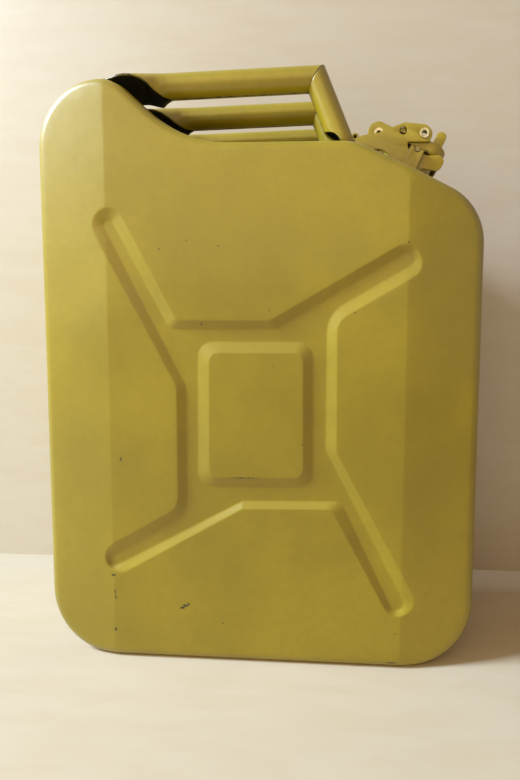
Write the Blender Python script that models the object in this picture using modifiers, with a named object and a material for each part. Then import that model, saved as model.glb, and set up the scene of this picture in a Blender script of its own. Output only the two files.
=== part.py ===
"""Pressed-steel fuel can with three carrying handles and a cam-lever closure.

Two deep-drawn half shells meet at a sunken seam. Three rolled-sheet handles
bridge the hump and the flat top, and the neck on the sloping shoulder is shut
by a hinged hood whose cam lever hooks under two studs.

Frame: metres, +X towards the spout, +Y to the back, +Z up, with the origin
under the middle of the base.
"""

import math

import bmesh
import bpy
from mathutils import Matrix, Vector

# Body outline, seen from the front
BODY_WIDTH = 0.345
BODY_DEPTH = 0.165
TOP_HEIGHT = 0.406
HUMP_RISE = 0.048
BASE_CORNER_RADIUS = 0.050
SIDE_CORNER_RADIUS = 0.045
HUMP_CORNER_RADIUS = 0.050
HUMP_LEDGE = 0.0643
HUMP_CREST_RADIUS = 0.036
HUMP_RUN = 0.0536
HUMP_FOOT_RADIUS = 0.090
SHOULDER_RUN = 0.099
SHOULDER_START_RADIUS = 0.040
SHOULDER_ANGLE = math.radians(24.4)

# Pressed shells
SHEET = 0.0009
FACE_RADIUS = 0.0075
FLANK_WIDTH = 0.0581
FLANK_ANGLE = math.radians(5.2)
SEAM_GAP = 0.0003
SEAM_DEPTH = 0.004
SEAM_FLOOR_HALF = 0.005
SEAM_MOUTH_HALF = 0.008
FLANGE_THICKNESS = 0.0012
FLANGE_SINK = 0.0012

# Cross pressing on each face
CHANNEL_DEPTH = 0.005
CHANNEL_FLOOR_HALF = 0.0047
CHANNEL_MOUTH_HALF = 0.0125
FRAME_LIFT = 0.2005
FRAME_HALF_WIDTH = 0.0492
FRAME_HALF_HEIGHT = 0.0610
FRAME_CORNER_RADIUS = 0.019

# Handles
HANDLE_SPACING = 0.058
HANDLE_RADIUS = 0.0095
HANDLE_SHEET = 0.0015
HANDLE_LIFT = 0.0036
HANDLE_RISE = math.radians(1.7)
HANDLE_END_MARGIN = 0.0295
STRUT_ANGLE = math.radians(67.3)
HANDLE_BUTT_GAP = 0.0004
SPOON_WIDTH = 0.028
SPOON_LEAD = 0.037
SPOON_TAIL = 0.020
TONGUE_BEND = 0.260
STRUT_CUT_HEIGHT = 0.0185
JOINT_GAP = 0.0003

# Neck, in the sloping frame of the closure: u down the slope, v across, n out
NECK_ALONG = 0.0365
NECK_RADIUS = 0.022
NECK_SHEET = 0.0014
NECK_HEIGHT = 0.0350
NECK_DROP = 0.006
NECK_BEAD = 0.0016
BREATHER_RADIUS = 0.0045
BREATHER_DEPTH = 0.012
BREATHER_RISE = 0.026

# Neck bracket
BRACKET_SHEET = 0.0020
BRACKET_BACK = 0.0358
BRACKET_FRONT = 0.0130
EAR_INSIDE = 0.0219
EAR_THICKNESS = 0.0022
EAR_FRONT = 0.0245
LUG_INSIDE = 0.0298
LUG_THICKNESS = 0.0028
LUG_BACK = 0.0020
LUG_FRONT = 0.0100
LUG_HEIGHT = 0.0310
STUD_U = 0.0043
STUD_N = 0.0303
STUD_RADIUS = 0.0026
STUD_REACH = 0.0009

# Hinge, lock hole and lever pivot
HINGE_U = -0.0310
HINGE_N = 0.0315
HINGE_EAR_RADIUS = 0.0072
HINGE_PIN_RADIUS = 0.0030
HINGE_EYE_RADIUS = 0.0093
PIVOT_U = 0.0038
PIVOT_N = 0.0455
PIVOT_PIN_RADIUS = 0.0030
LOCK_U = -0.0129
LOCK_N = 0.0404
LOCK_RADIUS = 0.0032
TUBE_BORE = 0.0019
RIM_RADIUS = 0.0041
RIM_HEIGHT = 0.0007
RUNNING_GAP = 0.0003
PIN_HEAD_GAP = 0.00005

# Hood with its seal
HOOD_HALF_WIDTH = 0.0264
HOOD_SHEET = 0.0020
HOOD_FRONT = 0.0272
HOOD_REAR = 0.0200
HOOD_FRONT_RADIUS = 0.0125
HOOD_EDGE_RADIUS = 0.0028
HOOD_SKIRT_N = 0.0326
HOOD_TOP_N = 0.0434
HOOD_EAR_RADIUS = 0.0062
HOOD_PROUD = 0.0001
TAB_V = -0.0190
TAB_BACK = 0.0130
TAB_FRONT = 0.0200
TAB_N = 0.0565
TAB_THICKNESS = 0.0020
SEAL_OUTER = 0.0234
SEAL_INNER = 0.0165
SEAL_THICKNESS = 0.0027
DISC_THICKNESS = 0.0010
CAP_RIVET_RADIUS = 0.0045

# Cam lever
CHEEK_INSIDE = 0.0269
CHEEK_THICKNESS = 0.0017
LEVER_LENGTH = 0.0500
CAM_THICKNESS = 0.0007
CAM_SEAT = 0.0002
WEB_SHEET = 0.0016
FINGER_WIDTH = 0.020

# One overrun for every cut, and the smoothness of round work
OVERRUN = 0.004
ARC_STEPS = 4
ROUND_SIDES = 32
PIN_SIDES = 16
SHEET_STEPS = 16

PAINT = (0.46, 0.37, 0.075)
RAW_STEEL = (0.33, 0.32, 0.30)
ZINC = (0.62, 0.60, 0.52)
RUBBER = (0.025, 0.024, 0.022)

FRONT = -1
BACK = 1

# Places that follow from the sizes above
HALF_WIDTH = BODY_WIDTH / 2
HUMP_HEIGHT = TOP_HEIGHT + HUMP_RISE
HUMP_CREST_X = HUMP_LEDGE - HALF_WIDTH
HUMP_FOOT_X = HUMP_CREST_X + HUMP_RUN
SHOULDER_START_X = HALF_WIDTH - SHOULDER_RUN
CREASE_X = HALF_WIDTH - FLANK_WIDTH
HANDLE_AXIS_Z = HUMP_HEIGHT + HANDLE_LIFT
HANDLE_MITRE_X = SHOULDER_START_X - HANDLE_END_MARGIN
SPOON_START_X = HUMP_CREST_X + SPOON_LEAD
SPOON_END_X = HUMP_CREST_X - SPOON_TAIL
NECK_X = SHOULDER_START_X + NECK_ALONG


def clear_scene():
    for obj in list(bpy.data.objects):
        bpy.data.objects.remove(obj, do_unlink=True)


def make_collection(name):
    collection = bpy.data.collections.new(name)
    bpy.context.scene.collection.children.link(collection)
    return collection


def make_material(name, colour, roughness, metallic):
    material = bpy.data.materials.new(name)
    material.use_nodes = True
    shader = material.node_tree.nodes["Principled BSDF"]
    shader.inputs["Base Color"].default_value = (*colour, 1.0)
    shader.inputs["Roughness"].default_value = roughness
    shader.inputs["Metallic"].default_value = metallic
    return material


def mesh_object(name, bm, collection, material=None):
    """Close a bmesh into a named object, facing out and smooth but for sharp edges."""
    bmesh.ops.remove_doubles(bm, verts=bm.verts, dist=1e-7)
    bmesh.ops.recalc_face_normals(bm, faces=bm.faces)
    mesh = bpy.data.meshes.new(name)
    bm.to_mesh(mesh)
    bm.free()
    mesh.shade_smooth()
    mesh.set_sharp_from_angle(angle=math.radians(32))
    obj = bpy.data.objects.new(name, mesh)
    collection.objects.link(obj)
    if material:
        mesh.materials.append(material)
    return obj


def as_cutter(obj):
    obj.hide_render = True
    obj.display_type = "WIRE"
    return obj


def boolean(target, operand, operation="DIFFERENCE"):
    modifier = target.modifiers.new(operand.name, "BOOLEAN")
    modifier.operation = operation
    modifier.solver = "EXACT"
    modifier.object = operand


def empty_at(name, parent, place, collection):
    """An empty that marks a joint's axis or a local frame."""
    empty = bpy.data.objects.new(name, None)
    empty.location = place
    empty.parent = parent
    collection.objects.link(empty)
    return empty


def hang(obj, parent, pivot=(0.0, 0.0)):
    """Hang a piece, drawn in the closure's frame, on the empty that stands at the pivot."""
    obj.parent = parent
    obj.location = (-pivot[0], 0.0, -pivot[1])
    return obj


def arc(centre, radius, start, end, steps=ARC_STEPS):
    turn = end - start
    return [
        (
            centre[0] + radius * math.cos(math.radians(start + turn * i / steps)),
            centre[1] + radius * math.sin(math.radians(start + turn * i / steps)),
        )
        for i in range(steps + 1)
    ]


def fillet(before, corner, after, radius, steps=ARC_STEPS):
    """Points that round one corner of an outline."""
    a = (Vector(before) - Vector(corner)).normalized()
    b = (Vector(after) - Vector(corner)).normalized()
    half = a.angle(b) / 2
    middle = Vector(corner) + (a + b).normalized() * radius / math.sin(half)
    first = Vector(corner) + a * radius / math.tan(half) - middle
    sweep = math.pi - 2 * half
    side = 1 if a.x * b.y - a.y * b.x < 0 else -1
    points = []
    for i in range(steps + 1):
        turn = side * sweep * i / steps
        cos, sin = math.cos(turn), math.sin(turn)
        points.append((
            middle.x + first.x * cos - first.y * sin,
            middle.y + first.x * sin + first.y * cos,
        ))
    return points


def rounded(corners, radii, steps=ARC_STEPS):
    """An outline with each corner rounded; a zero radius keeps it sharp."""
    points = []
    for i, corner in enumerate(corners):
        if radii[i] <= 0:
            points.append(tuple(corner))
            continue
        after = corners[(i + 1) % len(corners)]
        points.extend(fillet(corners[i - 1], corner, after, radii[i], steps))
    return points


def inset_corners(corners, inset):
    """Each edge of a counter-clockwise outline moved inwards by the inset."""
    moved = []
    for i, corner in enumerate(corners):
        back = (Vector(corner) - Vector(corners[i - 1])).normalized()
        ahead = (Vector(corners[(i + 1) % len(corners)]) - Vector(corner)).normalized()
        normal = (Vector((-back.y, back.x)) + Vector((-ahead.y, ahead.x))).normalized()
        spread = normal.dot(Vector((-back.y, back.x)))
        moved.append(Vector(corner) + normal * inset / spread)
    return moved


def body_corners():
    """The body's outline in X and Z, with the radius of each corner."""
    half = BODY_WIDTH / 2
    fall = math.tan(SHOULDER_ANGLE)
    corners = [
        (-half, 0.0),
        (half, 0.0),
        (half, TOP_HEIGHT - (half - SHOULDER_START_X) * fall),
        (SHOULDER_START_X, TOP_HEIGHT),
        (HUMP_FOOT_X, TOP_HEIGHT),
        (HUMP_CREST_X, HUMP_HEIGHT),
        (-half, HUMP_HEIGHT),
    ]
    convex = [
        BASE_CORNER_RADIUS,
        BASE_CORNER_RADIUS,
        SIDE_CORNER_RADIUS,
        SHOULDER_START_RADIUS,
        -HUMP_FOOT_RADIUS,
        HUMP_CREST_RADIUS,
        HUMP_CORNER_RADIUS,
    ]
    return corners, convex


def body_outline(inset):
    corners, convex = body_corners()
    radii = [abs(radius - inset) for radius in convex]
    return rounded(inset_corners(corners, inset), radii)


def flank_setback(x):
    """How far the bevelled flank falls back behind the face at this X."""
    return max(0.0, abs(x) - CREASE_X) * math.tan(FLANK_ANGLE)


def loft(rings, closed_ends=True):
    """Skin a list of equal rings into one closed bmesh."""
    bm = bmesh.new()
    rows = [[bm.verts.new(point) for point in ring] for ring in rings]
    count = len(rows[0])
    for near, far in zip(rows, rows[1:]):
        for i in range(count):
            j = (i + 1) % count
            bm.faces.new((near[i], near[j], far[j], far[i]))
    if closed_ends:
        bm.faces.new(rows[0])
        bm.faces.new(rows[-1])
    return bm


def half_body(name, side, rows, collection):
    """One half of the body as a solid: rings of inset and depth, then the flanks bent back."""
    rings = [[(x, depth, z) for x, z in body_outline(inset)] for inset, depth in rows]
    bm = loft(rings)
    for crease in (-CREASE_X, CREASE_X):
        geometry = bm.verts[:] + bm.edges[:] + bm.faces[:]
        bmesh.ops.bisect_plane(bm, geom=geometry, plane_co=(crease, 0, 0), plane_no=(1, 0, 0))
    bend_from = SEAM_MOUTH_HALF + SHEET
    for vert in bm.verts:
        if vert.co.y > bend_from:
            vert.co.y -= flank_setback(vert.co.x)
        vert.co.y *= side
    return mesh_object(name, bm, collection)


def face_rows(inset, front, radius):
    """The round from side wall to face, as rows of inset and depth."""
    return [
        (inset + radius * (1 - math.cos(angle)), front - radius * (1 - math.sin(angle)))
        for angle in (math.pi / 2 * i / ARC_STEPS for i in range(ARC_STEPS + 1))
    ]


def shell_outside(side, cutters):
    parting = SEAM_GAP / 2
    rows = [
        (FLANGE_SINK, parting),
        (FLANGE_SINK, parting + FLANGE_THICKNESS),
        (SEAM_DEPTH, parting + FLANGE_THICKNESS),
        (SEAM_DEPTH, SEAM_FLOOR_HALF),
        (0.0, SEAM_MOUTH_HALF),
    ]
    rows += face_rows(0.0, BODY_DEPTH / 2, FACE_RADIUS)
    return half_body("outside", side, rows, cutters)


def shell_inside(side, cutters):
    rows = [
        (SEAM_DEPTH + SHEET, -OVERRUN),
        (SEAM_DEPTH + SHEET, SEAM_FLOOR_HALF + SHEET / 2),
        (SHEET, SEAM_MOUTH_HALF + SHEET / 2),
    ]
    rows += face_rows(SHEET, BODY_DEPTH / 2 - SHEET, FACE_RADIUS - SHEET)
    return half_body("inside", side, rows, cutters)


def channel_ring(outline, side, depth):
    return [(x, side * depth, z) for x, z in outline]


def stadium(start, end, radius):
    """A long hole's outline between two centres."""
    heading = math.degrees(math.atan2(end[1] - start[1], end[0] - start[0]))
    tip = arc(end, radius, heading - 90, heading + 90, ARC_STEPS + 2)
    tail = arc(start, radius, heading + 90, heading + 270, ARC_STEPS)
    return tip + tail


def frame_outline(offset):
    """The centre line of the square channel, moved outwards by the offset."""
    half_width = FRAME_HALF_WIDTH + offset
    half_height = FRAME_HALF_HEIGHT + offset
    corners = [
        (-half_width, FRAME_LIFT - half_height),
        (half_width, FRAME_LIFT - half_height),
        (half_width, FRAME_LIFT + half_height),
        (-half_width, FRAME_LIFT + half_height),
    ]
    radius = max(FRAME_CORNER_RADIUS + offset, SHEET)
    return rounded(corners, [radius] * len(corners))


def arm_lines():
    """Each arm's far end, near a corner of the face, and its root on the square frame."""
    # Ends in body widths and hump heights, roots in half widths and half heights of the frame
    end_shares = ((-0.3226, 0.7555), (0.3246, 0.6965), (-0.3128, 0.1830), (0.3223, 0.1434))
    root_shares = ((-0.967, 0.715), (0.431, 0.972), (-0.181, -0.980), (0.967, -0.477))
    return [
        (
            (BODY_WIDTH * end[0], HUMP_HEIGHT * end[1]),
            (FRAME_HALF_WIDTH * root[0], FRAME_LIFT + FRAME_HALF_HEIGHT * root[1]),
        )
        for end, root in zip(end_shares, root_shares)
    ]


def channel_cutters(side, sink, cutters):
    """The tapered tools that press the cross and its square frame, sunk by a sheet inside."""
    face = BODY_DEPTH / 2 - sink
    floor = face - CHANNEL_DEPTH
    narrow = CHANNEL_FLOOR_HALF + sink * 0.3
    slope = (CHANNEL_MOUTH_HALF - CHANNEL_FLOOR_HALF) / CHANNEL_DEPTH
    wide = narrow + slope * (CHANNEL_DEPTH + OVERRUN)
    tools = []
    for end, root in arm_lines():
        rings = [
            channel_ring(stadium(root, end, narrow), side, floor),
            channel_ring(stadium(root, end, wide), side, face + OVERRUN),
        ]
        tools.append(as_cutter(mesh_object("arm_tool", loft(rings), cutters)))
    rings = [
        channel_ring(frame_outline(narrow), side, floor),
        channel_ring(frame_outline(wide), side, face + OVERRUN),
    ]
    square = as_cutter(mesh_object("frame_tool", loft(rings), cutters))
    rings = [
        channel_ring(frame_outline(slope * OVERRUN - narrow), side, floor - OVERRUN),
        channel_ring(frame_outline(-wide - slope * OVERRUN), side, face + OVERRUN * 2),
    ]
    plateau = as_cutter(mesh_object("plateau_tool", loft(rings), cutters))
    boolean(square, plateau)
    tools.append(square)
    return tools


def slope_frame(collection):
    """The empty that carries the closure: its Z is square to the shoulder."""
    fall = math.tan(SHOULDER_ANGLE)
    height = TOP_HEIGHT - (NECK_X - SHOULDER_START_X) * fall
    frame = empty_at("closure_frame", None, (NECK_X, 0.0, height), collection)
    frame.rotation_euler = (0.0, SHOULDER_ANGLE, 0.0)
    return frame


def cylinder(name, radius, low, high, collection, material=None, sides=ROUND_SIDES):
    """A round bar along n between two heights."""
    bm = bmesh.new()
    bmesh.ops.create_cone(
        bm, cap_ends=True, segments=sides, radius1=radius, radius2=radius, depth=high - low,
        matrix=Matrix.Translation((0, 0, (low + high) / 2)),
    )
    return mesh_object(name, bm, collection, material)


def cross_bar(name, place, radius, low, high, collection, material=None):
    """A round bar along v, through a point given in u and n."""
    bar = cylinder(name, radius, low, high, collection, material, PIN_SIDES)
    bar.data.transform(Matrix.Rotation(-math.pi / 2, 4, "X"))
    bar.data.transform(Matrix.Translation((place[0], 0, place[1])))
    return bar


def turned(name, profile, collection, material, sides=ROUND_SIDES):
    """A profile of radius and height revolved about n, run down its outer side."""
    area = sum(a[0] * b[1] - b[0] * a[1] for a, b in zip(profile, profile[1:] + profile[:1]))
    if area > 0:
        profile = profile[::-1]
    bm = bmesh.new()
    verts = [bm.verts.new((radius, 0, height)) for radius, height in profile]
    for first, second in zip(verts, verts[1:]):
        bm.edges.new((first, second))
    if profile[0][0] > 0 or profile[-1][0] > 0:
        bm.edges.new((verts[-1], verts[0]))
    mesh = bpy.data.meshes.new(name)
    bm.to_mesh(mesh)
    bm.free()
    obj = bpy.data.objects.new(name, mesh)
    collection.objects.link(obj)
    mesh.materials.append(material)
    screw = obj.modifiers.new("Turn", "SCREW")
    screw.steps = sides
    screw.render_steps = sides
    screw.use_merge_vertices = True
    screw.merge_threshold = 0.00001
    screw.use_smooth_shade = True
    return obj


def flat_plate(name, loops, thickness, collection, material=None):
    """A sheet cut to an outline with holes, lying in X and Y from zero up."""
    curve = bpy.data.curves.new(name, "CURVE")
    curve.dimensions = "2D"
    curve.fill_mode = "BOTH"
    curve.extrude = thickness / 2
    for loop in loops:
        spline = curve.splines.new("POLY")
        spline.points.add(len(loop) - 1)
        for point, (x, y) in zip(spline.points, loop):
            point.co = (x, y, 0.0, 1.0)
        spline.use_cyclic_u = True
    source = bpy.data.objects.new(name, curve)
    collection.objects.link(source)
    bpy.context.view_layer.update()
    mesh = bpy.data.meshes.new_from_object(source.evaluated_get(bpy.context.evaluated_depsgraph_get()))
    bpy.data.objects.remove(source, do_unlink=True)
    bpy.data.curves.remove(curve)
    bm = bmesh.new()
    bm.from_mesh(mesh)
    bpy.data.meshes.remove(mesh)
    bm.transform(Matrix.Translation((0, 0, thickness / 2)))
    return mesh_object(name, bm, collection, material)


def upright_plate(name, loops, low, high, collection, material=None):
    """A sheet with its outline in u and n, between two places across the neck."""
    plate = flat_plate(name, loops, high - low, collection, material)
    plate.data.transform(Matrix.Rotation(math.pi / 2, 4, "X"))
    plate.data.transform(Matrix.Translation((0, high, 0)))
    return plate


def mirrored_pair(name, loops, inside, outside, collection):
    """The same upright sheet on both sides of the neck."""
    near = upright_plate(name + "_near", loops, -outside, -inside, collection)
    far = upright_plate(name + "_far", loops, inside, outside, collection)
    return [near, far]


def join_all(target, pieces, frame):
    for piece in pieces:
        as_cutter(piece)
        piece.parent = frame
        boolean(target, piece, "UNION")


def circle(place, radius, sides=PIN_SIDES):
    return arc(place, radius, 0, 360 * (sides - 1) / sides, sides - 1)


def build_shell(name, side, frame, parts, cutters, paint):
    shell = shell_outside(side, parts)
    shell.name = name
    shell.data.name = name
    shell.data.materials.append(paint)
    for tool in channel_cutters(side, 0.0, cutters):
        boolean(shell, tool)
    cavity = as_cutter(shell_inside(side, cutters))
    for tool in channel_cutters(side, SHEET, cutters):
        boolean(cavity, tool)
    boolean(shell, cavity)
    drill = cylinder("neck_drill", NECK_RADIUS + RUNNING_GAP, -BODY_DEPTH / 4, OVERRUN, cutters)
    as_cutter(drill)
    drill.parent = frame
    boolean(shell, drill)
    return shell


def rolled_sheet(name, stations, thickness, collection, material):
    """Sheet bent round a moving line: each station has its crown point, its up and its
    bend radius and half width, measured along the sheet."""
    bm = bmesh.new()
    rows = []
    for crown, up, bend, reach in stations:
        row = []
        for j in range(SHEET_STEPS + 1):
            turn = reach * (2 * j / SHEET_STEPS - 1) / bend
            sideways = Vector((0, bend * math.sin(turn), 0))
            row.append(bm.verts.new(crown + sideways - up * bend * (1 - math.cos(turn))))
        rows.append(row)
    for near, far in zip(rows, rows[1:]):
        for j in range(SHEET_STEPS):
            bm.faces.new((near[j], far[j], far[j + 1], near[j + 1]))
    mesh = bpy.data.meshes.new(name)
    bm.to_mesh(mesh)
    bm.free()
    mesh.shade_smooth()
    obj = bpy.data.objects.new(name, mesh)
    collection.objects.link(obj)
    mesh.materials.append(material)
    solidify = obj.modifiers.new("Sheet", "SOLIDIFY")
    solidify.thickness = thickness
    solidify.offset = 0.0
    solidify.use_even_offset = True
    return obj


def slab(name, point, normal, size, collection):
    """A block whose one face passes through the point, on the side its normal leaves."""
    bm = bmesh.new()
    bmesh.ops.create_cube(bm, size=size, matrix=Matrix.Translation((0, 0, -size / 2)))
    turn = Vector((0, 0, 1)).rotation_difference(Vector(normal)).to_matrix().to_4x4()
    bm.transform(Matrix.Translation(point) @ turn)
    return as_cutter(mesh_object(name, bm, collection))


def handle_lines():
    """Directions of the grip and the strut, and the point where their axes meet."""
    along = Vector((math.cos(HANDLE_RISE), 0, math.sin(HANDLE_RISE)))
    down = Vector((math.cos(STRUT_ANGLE), 0, -math.sin(STRUT_ANGLE)))
    meet = Vector((HANDLE_MITRE_X, 0, HANDLE_AXIS_Z + HANDLE_MITRE_X * math.tan(HANDLE_RISE)))
    return along, down, meet


def build_grip(name, y, parts, cutters, paint):
    """A tube whose hump end is cut away below and flattened into a tongue."""
    along, down, meet = handle_lines()
    up = Vector((-along.z, 0, along.x))
    bend = HANDLE_RADIUS - HANDLE_SHEET / 2
    whole = math.pi * bend - HANDLE_BUTT_GAP / 2
    half = SPOON_WIDTH / 2
    rest = HUMP_HEIGHT + JOINT_GAP + HANDLE_SHEET / 2 + half**2 / TONGUE_BEND / 2
    level = Vector((0, 0, 1))
    reach = SPOON_END_X - SPOON_START_X
    # Shares of the tongue's length, of its narrowing and of its fall, and the bend
    # of its section in tube radii
    spoon_shares = (
        (0.000, 0.00, 0.00, 1.00),
        (0.114, 0.42, 0.00, 1.00),
        (0.228, 0.70, 0.09, 1.02),
        (0.351, 0.86, 0.16, 1.37),
        (0.461, 0.96, 0.32, 2.06),
        (0.579, 1.00, 0.61, 3.43),
        (0.702, 1.00, 0.90, 6.86),
        (0.842, 1.00, 0.99, 26.0),
    )
    end = meet + along * HANDLE_RADIUS * 2
    stations = [(end + up * bend + Vector((0, y, 0)), up, bend, whole)]
    for run, narrow, drop, flat in spoon_shares:
        x = SPOON_START_X + reach * run
        crown = HANDLE_AXIS_Z + x * math.tan(HANDLE_RISE) + bend
        z = crown + (rest - crown) * drop
        lean = up.lerp(level, drop).normalized()
        width = whole + (half - whole) * narrow
        stations.append((Vector((x, y, z)), lean, bend * flat, width))
    tip = Vector((SPOON_END_X, y, rest - hump_fall(SPOON_END_X)))
    stations.append((tip, level, TONGUE_BEND, half))
    grip = rolled_sheet(name, stations, HANDLE_SHEET, parts, paint)
    mitre = (along + down).normalized()
    cut = Vector((meet.x, y, meet.z)) - mitre * JOINT_GAP / 2
    boolean(grip, slab("mitre_cut", cut, -mitre, HANDLE_RADIUS * 8, cutters))
    return grip


def hump_fall(x):
    """How far the hump's top has dropped by this X, on its left round."""
    start = -BODY_WIDTH / 2 + SIDE_CORNER_RADIUS
    past = max(0.0, start - x)
    return SIDE_CORNER_RADIUS - math.sqrt(SIDE_CORNER_RADIUS**2 - past**2)


def build_strut(name, y, parts, cutters, paint):
    """The leg under the mitre, with its inner half cut away above the body."""
    along, down, meet = handle_lines()
    outward = Vector((math.sin(STRUT_ANGLE), 0, math.cos(STRUT_ANGLE)))
    bend = HANDLE_RADIUS - HANDLE_SHEET / 2
    whole = math.pi * bend - HANDLE_BUTT_GAP / 2
    half = math.pi * bend * 0.56
    length = (meet.z - TOP_HEIGHT) / -down.z
    cut = length - STRUT_CUT_HEIGHT
    places = (
        (-HANDLE_RADIUS * 2, whole),
        (cut, whole),
        (cut + HANDLE_RADIUS * 0.5, (whole + half) / 2),
        (cut + HANDLE_RADIUS, half),
        (length + HANDLE_RADIUS * 2, half),
    )
    stations = [
        (meet + Vector((0, y, 0)) + down * place + outward * bend, outward, bend, reach)
        for place, reach in places
    ]
    strut = rolled_sheet(name, stations, HANDLE_SHEET, parts, paint)
    mitre = (along + down).normalized()
    at = Vector((meet.x, y, meet.z)) + mitre * JOINT_GAP / 2
    boolean(strut, slab("mitre_cut", at, mitre, HANDLE_RADIUS * 8, cutters))
    outline = body_outline(-JOINT_GAP)
    rings = [[(x, y + reach, z) for x, z in outline] for reach in (-SPOON_WIDTH, SPOON_WIDTH)]
    boolean(strut, as_cutter(mesh_object("foot_cut", loft(rings), cutters)))
    return strut


def build_neck(frame, parts, paint):
    """The neck tube, with a bead rolled outwards at its mouth."""
    inside = NECK_RADIUS - NECK_SHEET
    middle = (inside + NECK_BEAD, NECK_HEIGHT - NECK_BEAD)
    bead = arc(middle, NECK_BEAD, 180, -40, ARC_STEPS + 2)
    profile = [(inside, -NECK_DROP)] + bead
    profile += [(NECK_RADIUS, NECK_HEIGHT - 2.4 * NECK_BEAD), (NECK_RADIUS, -NECK_DROP)]
    return hang(turned("neck_tube", profile, parts, paint), frame)


def build_breather(frame, parts, zinc):
    """The air pipe from the neck's throat up into the hump."""
    inner = NECK_RADIUS - NECK_SHEET
    hug = -(inner - BREATHER_RADIUS - RUNNING_GAP)
    to_world = Matrix.Translation(frame.location) @ frame.rotation_euler.to_matrix().to_4x4()
    throat = to_world @ Vector((hug, 0, NECK_HEIGHT / 3))
    knee = to_world @ Vector((hug, 0, -NECK_DROP * 2))
    run = TOP_HEIGHT - BREATHER_DEPTH
    route = [
        throat,
        knee,
        Vector((knee.x - NECK_RADIUS, 0, run)),
        Vector((HUMP_FOOT_X, 0, run)),
        Vector((HUMP_CREST_X, 0, run + BREATHER_RISE)),
    ]
    curve = bpy.data.curves.new("breather_tube", "CURVE")
    curve.dimensions = "3D"
    curve.bevel_depth = BREATHER_RADIUS
    curve.bevel_resolution = 2
    curve.use_fill_caps = True
    spline = curve.splines.new("POLY")
    spline.points.add(len(route) - 1)
    for point, place in zip(spline.points, route):
        point.co = (*place, 1.0)
    pipe = bpy.data.objects.new("breather_tube", curve)
    parts.objects.link(pipe)
    curve.materials.append(zinc)
    return pipe


def build_bracket(frame, parts, cutters, paint):
    """The saddle round the neck: hinge ears at the back, stud lugs at the front."""
    half = LUG_INSIDE + LUG_THICKNESS
    corner = BRACKET_SHEET * 3
    edge = half - LUG_THICKNESS / 4
    base = rounded(
        [
            (-BRACKET_BACK, -edge),
            (BRACKET_FRONT, -edge),
            (BRACKET_FRONT, edge),
            (-BRACKET_BACK, edge),
        ],
        [corner] * 4,
    )
    bracket = flat_plate("neck_bracket", [base], BRACKET_SHEET, parts, paint)
    bracket.data.transform(Matrix.Translation((0, 0, JOINT_GAP)))
    hang(bracket, frame)
    drill = cylinder("bracket_drill", NECK_RADIUS + RUNNING_GAP, -OVERRUN, OVERRUN, cutters)
    as_cutter(drill).parent = frame
    boolean(bracket, drill)
    foot = BRACKET_SHEET / 2
    eye = HINGE_EAR_RADIUS
    hinge = (HINGE_U, HINGE_N)
    ear = arc(hinge, eye, 0, 180, 2 * ARC_STEPS)
    ear += [(HINGE_U - eye * 0.8, foot), (-EAR_FRONT, foot)]
    bore = circle(hinge, HINGE_PIN_RADIUS + RUNNING_GAP)
    ears = mirrored_pair("hinge_ear", [ear, bore], EAR_INSIDE, EAR_INSIDE + EAR_THICKNESS, cutters)
    notch = arc((STUD_U, STUD_N), STUD_RADIUS, 0, -180, 2 * ARC_STEPS)
    notch_top = [(STUD_U - STUD_RADIUS, LUG_HEIGHT), (-LUG_BACK, LUG_HEIGHT), (-LUG_BACK, foot)]
    lug = [(LUG_FRONT, foot), (LUG_FRONT, LUG_HEIGHT), (STUD_U + STUD_RADIUS, LUG_HEIGHT)]
    lugs = mirrored_pair("lug", [lug + notch + notch_top], LUG_INSIDE, half, cutters)
    join_all(bracket, ears + lugs, frame)
    return bracket


def build_stud(name, side, frame, parts, zinc):
    """The stud welded in the notch of a lug, which the cam rib hooks under."""
    low = LUG_INSIDE - STUD_REACH
    high = LUG_INSIDE + LUG_THICKNESS
    radius = STUD_RADIUS - RUNNING_GAP
    ends = (low, high) if side == BACK else (-high, -low)
    stud = cross_bar(name, (STUD_U, STUD_N), radius, ends[0], ends[1], parts, zinc)
    return hang(stud, frame)


def build_pivot_rivet(name, side, pivot, parts, zinc):
    """A tubular rivet that carries one cheek of the lever on an ear of the hood."""
    low = HOOD_HALF_WIDTH - HOOD_SHEET - RUNNING_GAP
    high = CHEEK_INSIDE + CHEEK_THICKNESS + RUNNING_GAP
    rim = RIM_RADIUS
    lip = RIM_HEIGHT
    profile = [
        (TUBE_BORE, low),
        (PIVOT_PIN_RADIUS, low),
        (PIVOT_PIN_RADIUS, high),
        (rim, high),
        (rim, high + lip * 0.6),
        (rim - lip, high + lip),
        (TUBE_BORE + lip * 0.6, high + lip),
        (TUBE_BORE, high + lip * 0.4),
    ]
    rivet = turned(name, profile, parts, zinc, PIN_SIDES)
    rivet.rotation_euler = (-side * math.pi / 2, 0, 0)
    rivet.parent = pivot
    rivet.location = (PIVOT_U - HINGE_U, 0, PIVOT_N - HINGE_N)
    return rivet


def build_hinge_pin(frame, parts, zinc):
    """The long tubular pin through the ears and the hood's arms, rolled at both ends."""
    low = HOOD_HALF_WIDTH + HOOD_PROUD + PIN_HEAD_GAP
    lip = (CHEEK_INSIDE - low) / 2
    rim = RIM_RADIUS
    top = [
        (HINGE_PIN_RADIUS, low),
        (rim, low),
        (rim, low + lip * 0.6),
        (rim - lip, low + lip),
        (TUBE_BORE, low + lip),
    ]
    bottom = [(radius, -height) for radius, height in reversed(top)]
    pin = turned("hinge_pin", bottom + top, parts, zinc, PIN_SIDES)
    pin.rotation_euler = (-math.pi / 2, 0, 0)
    pin.parent = frame
    pin.location = (HINGE_U, 0, HINGE_N)
    return pin


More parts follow.
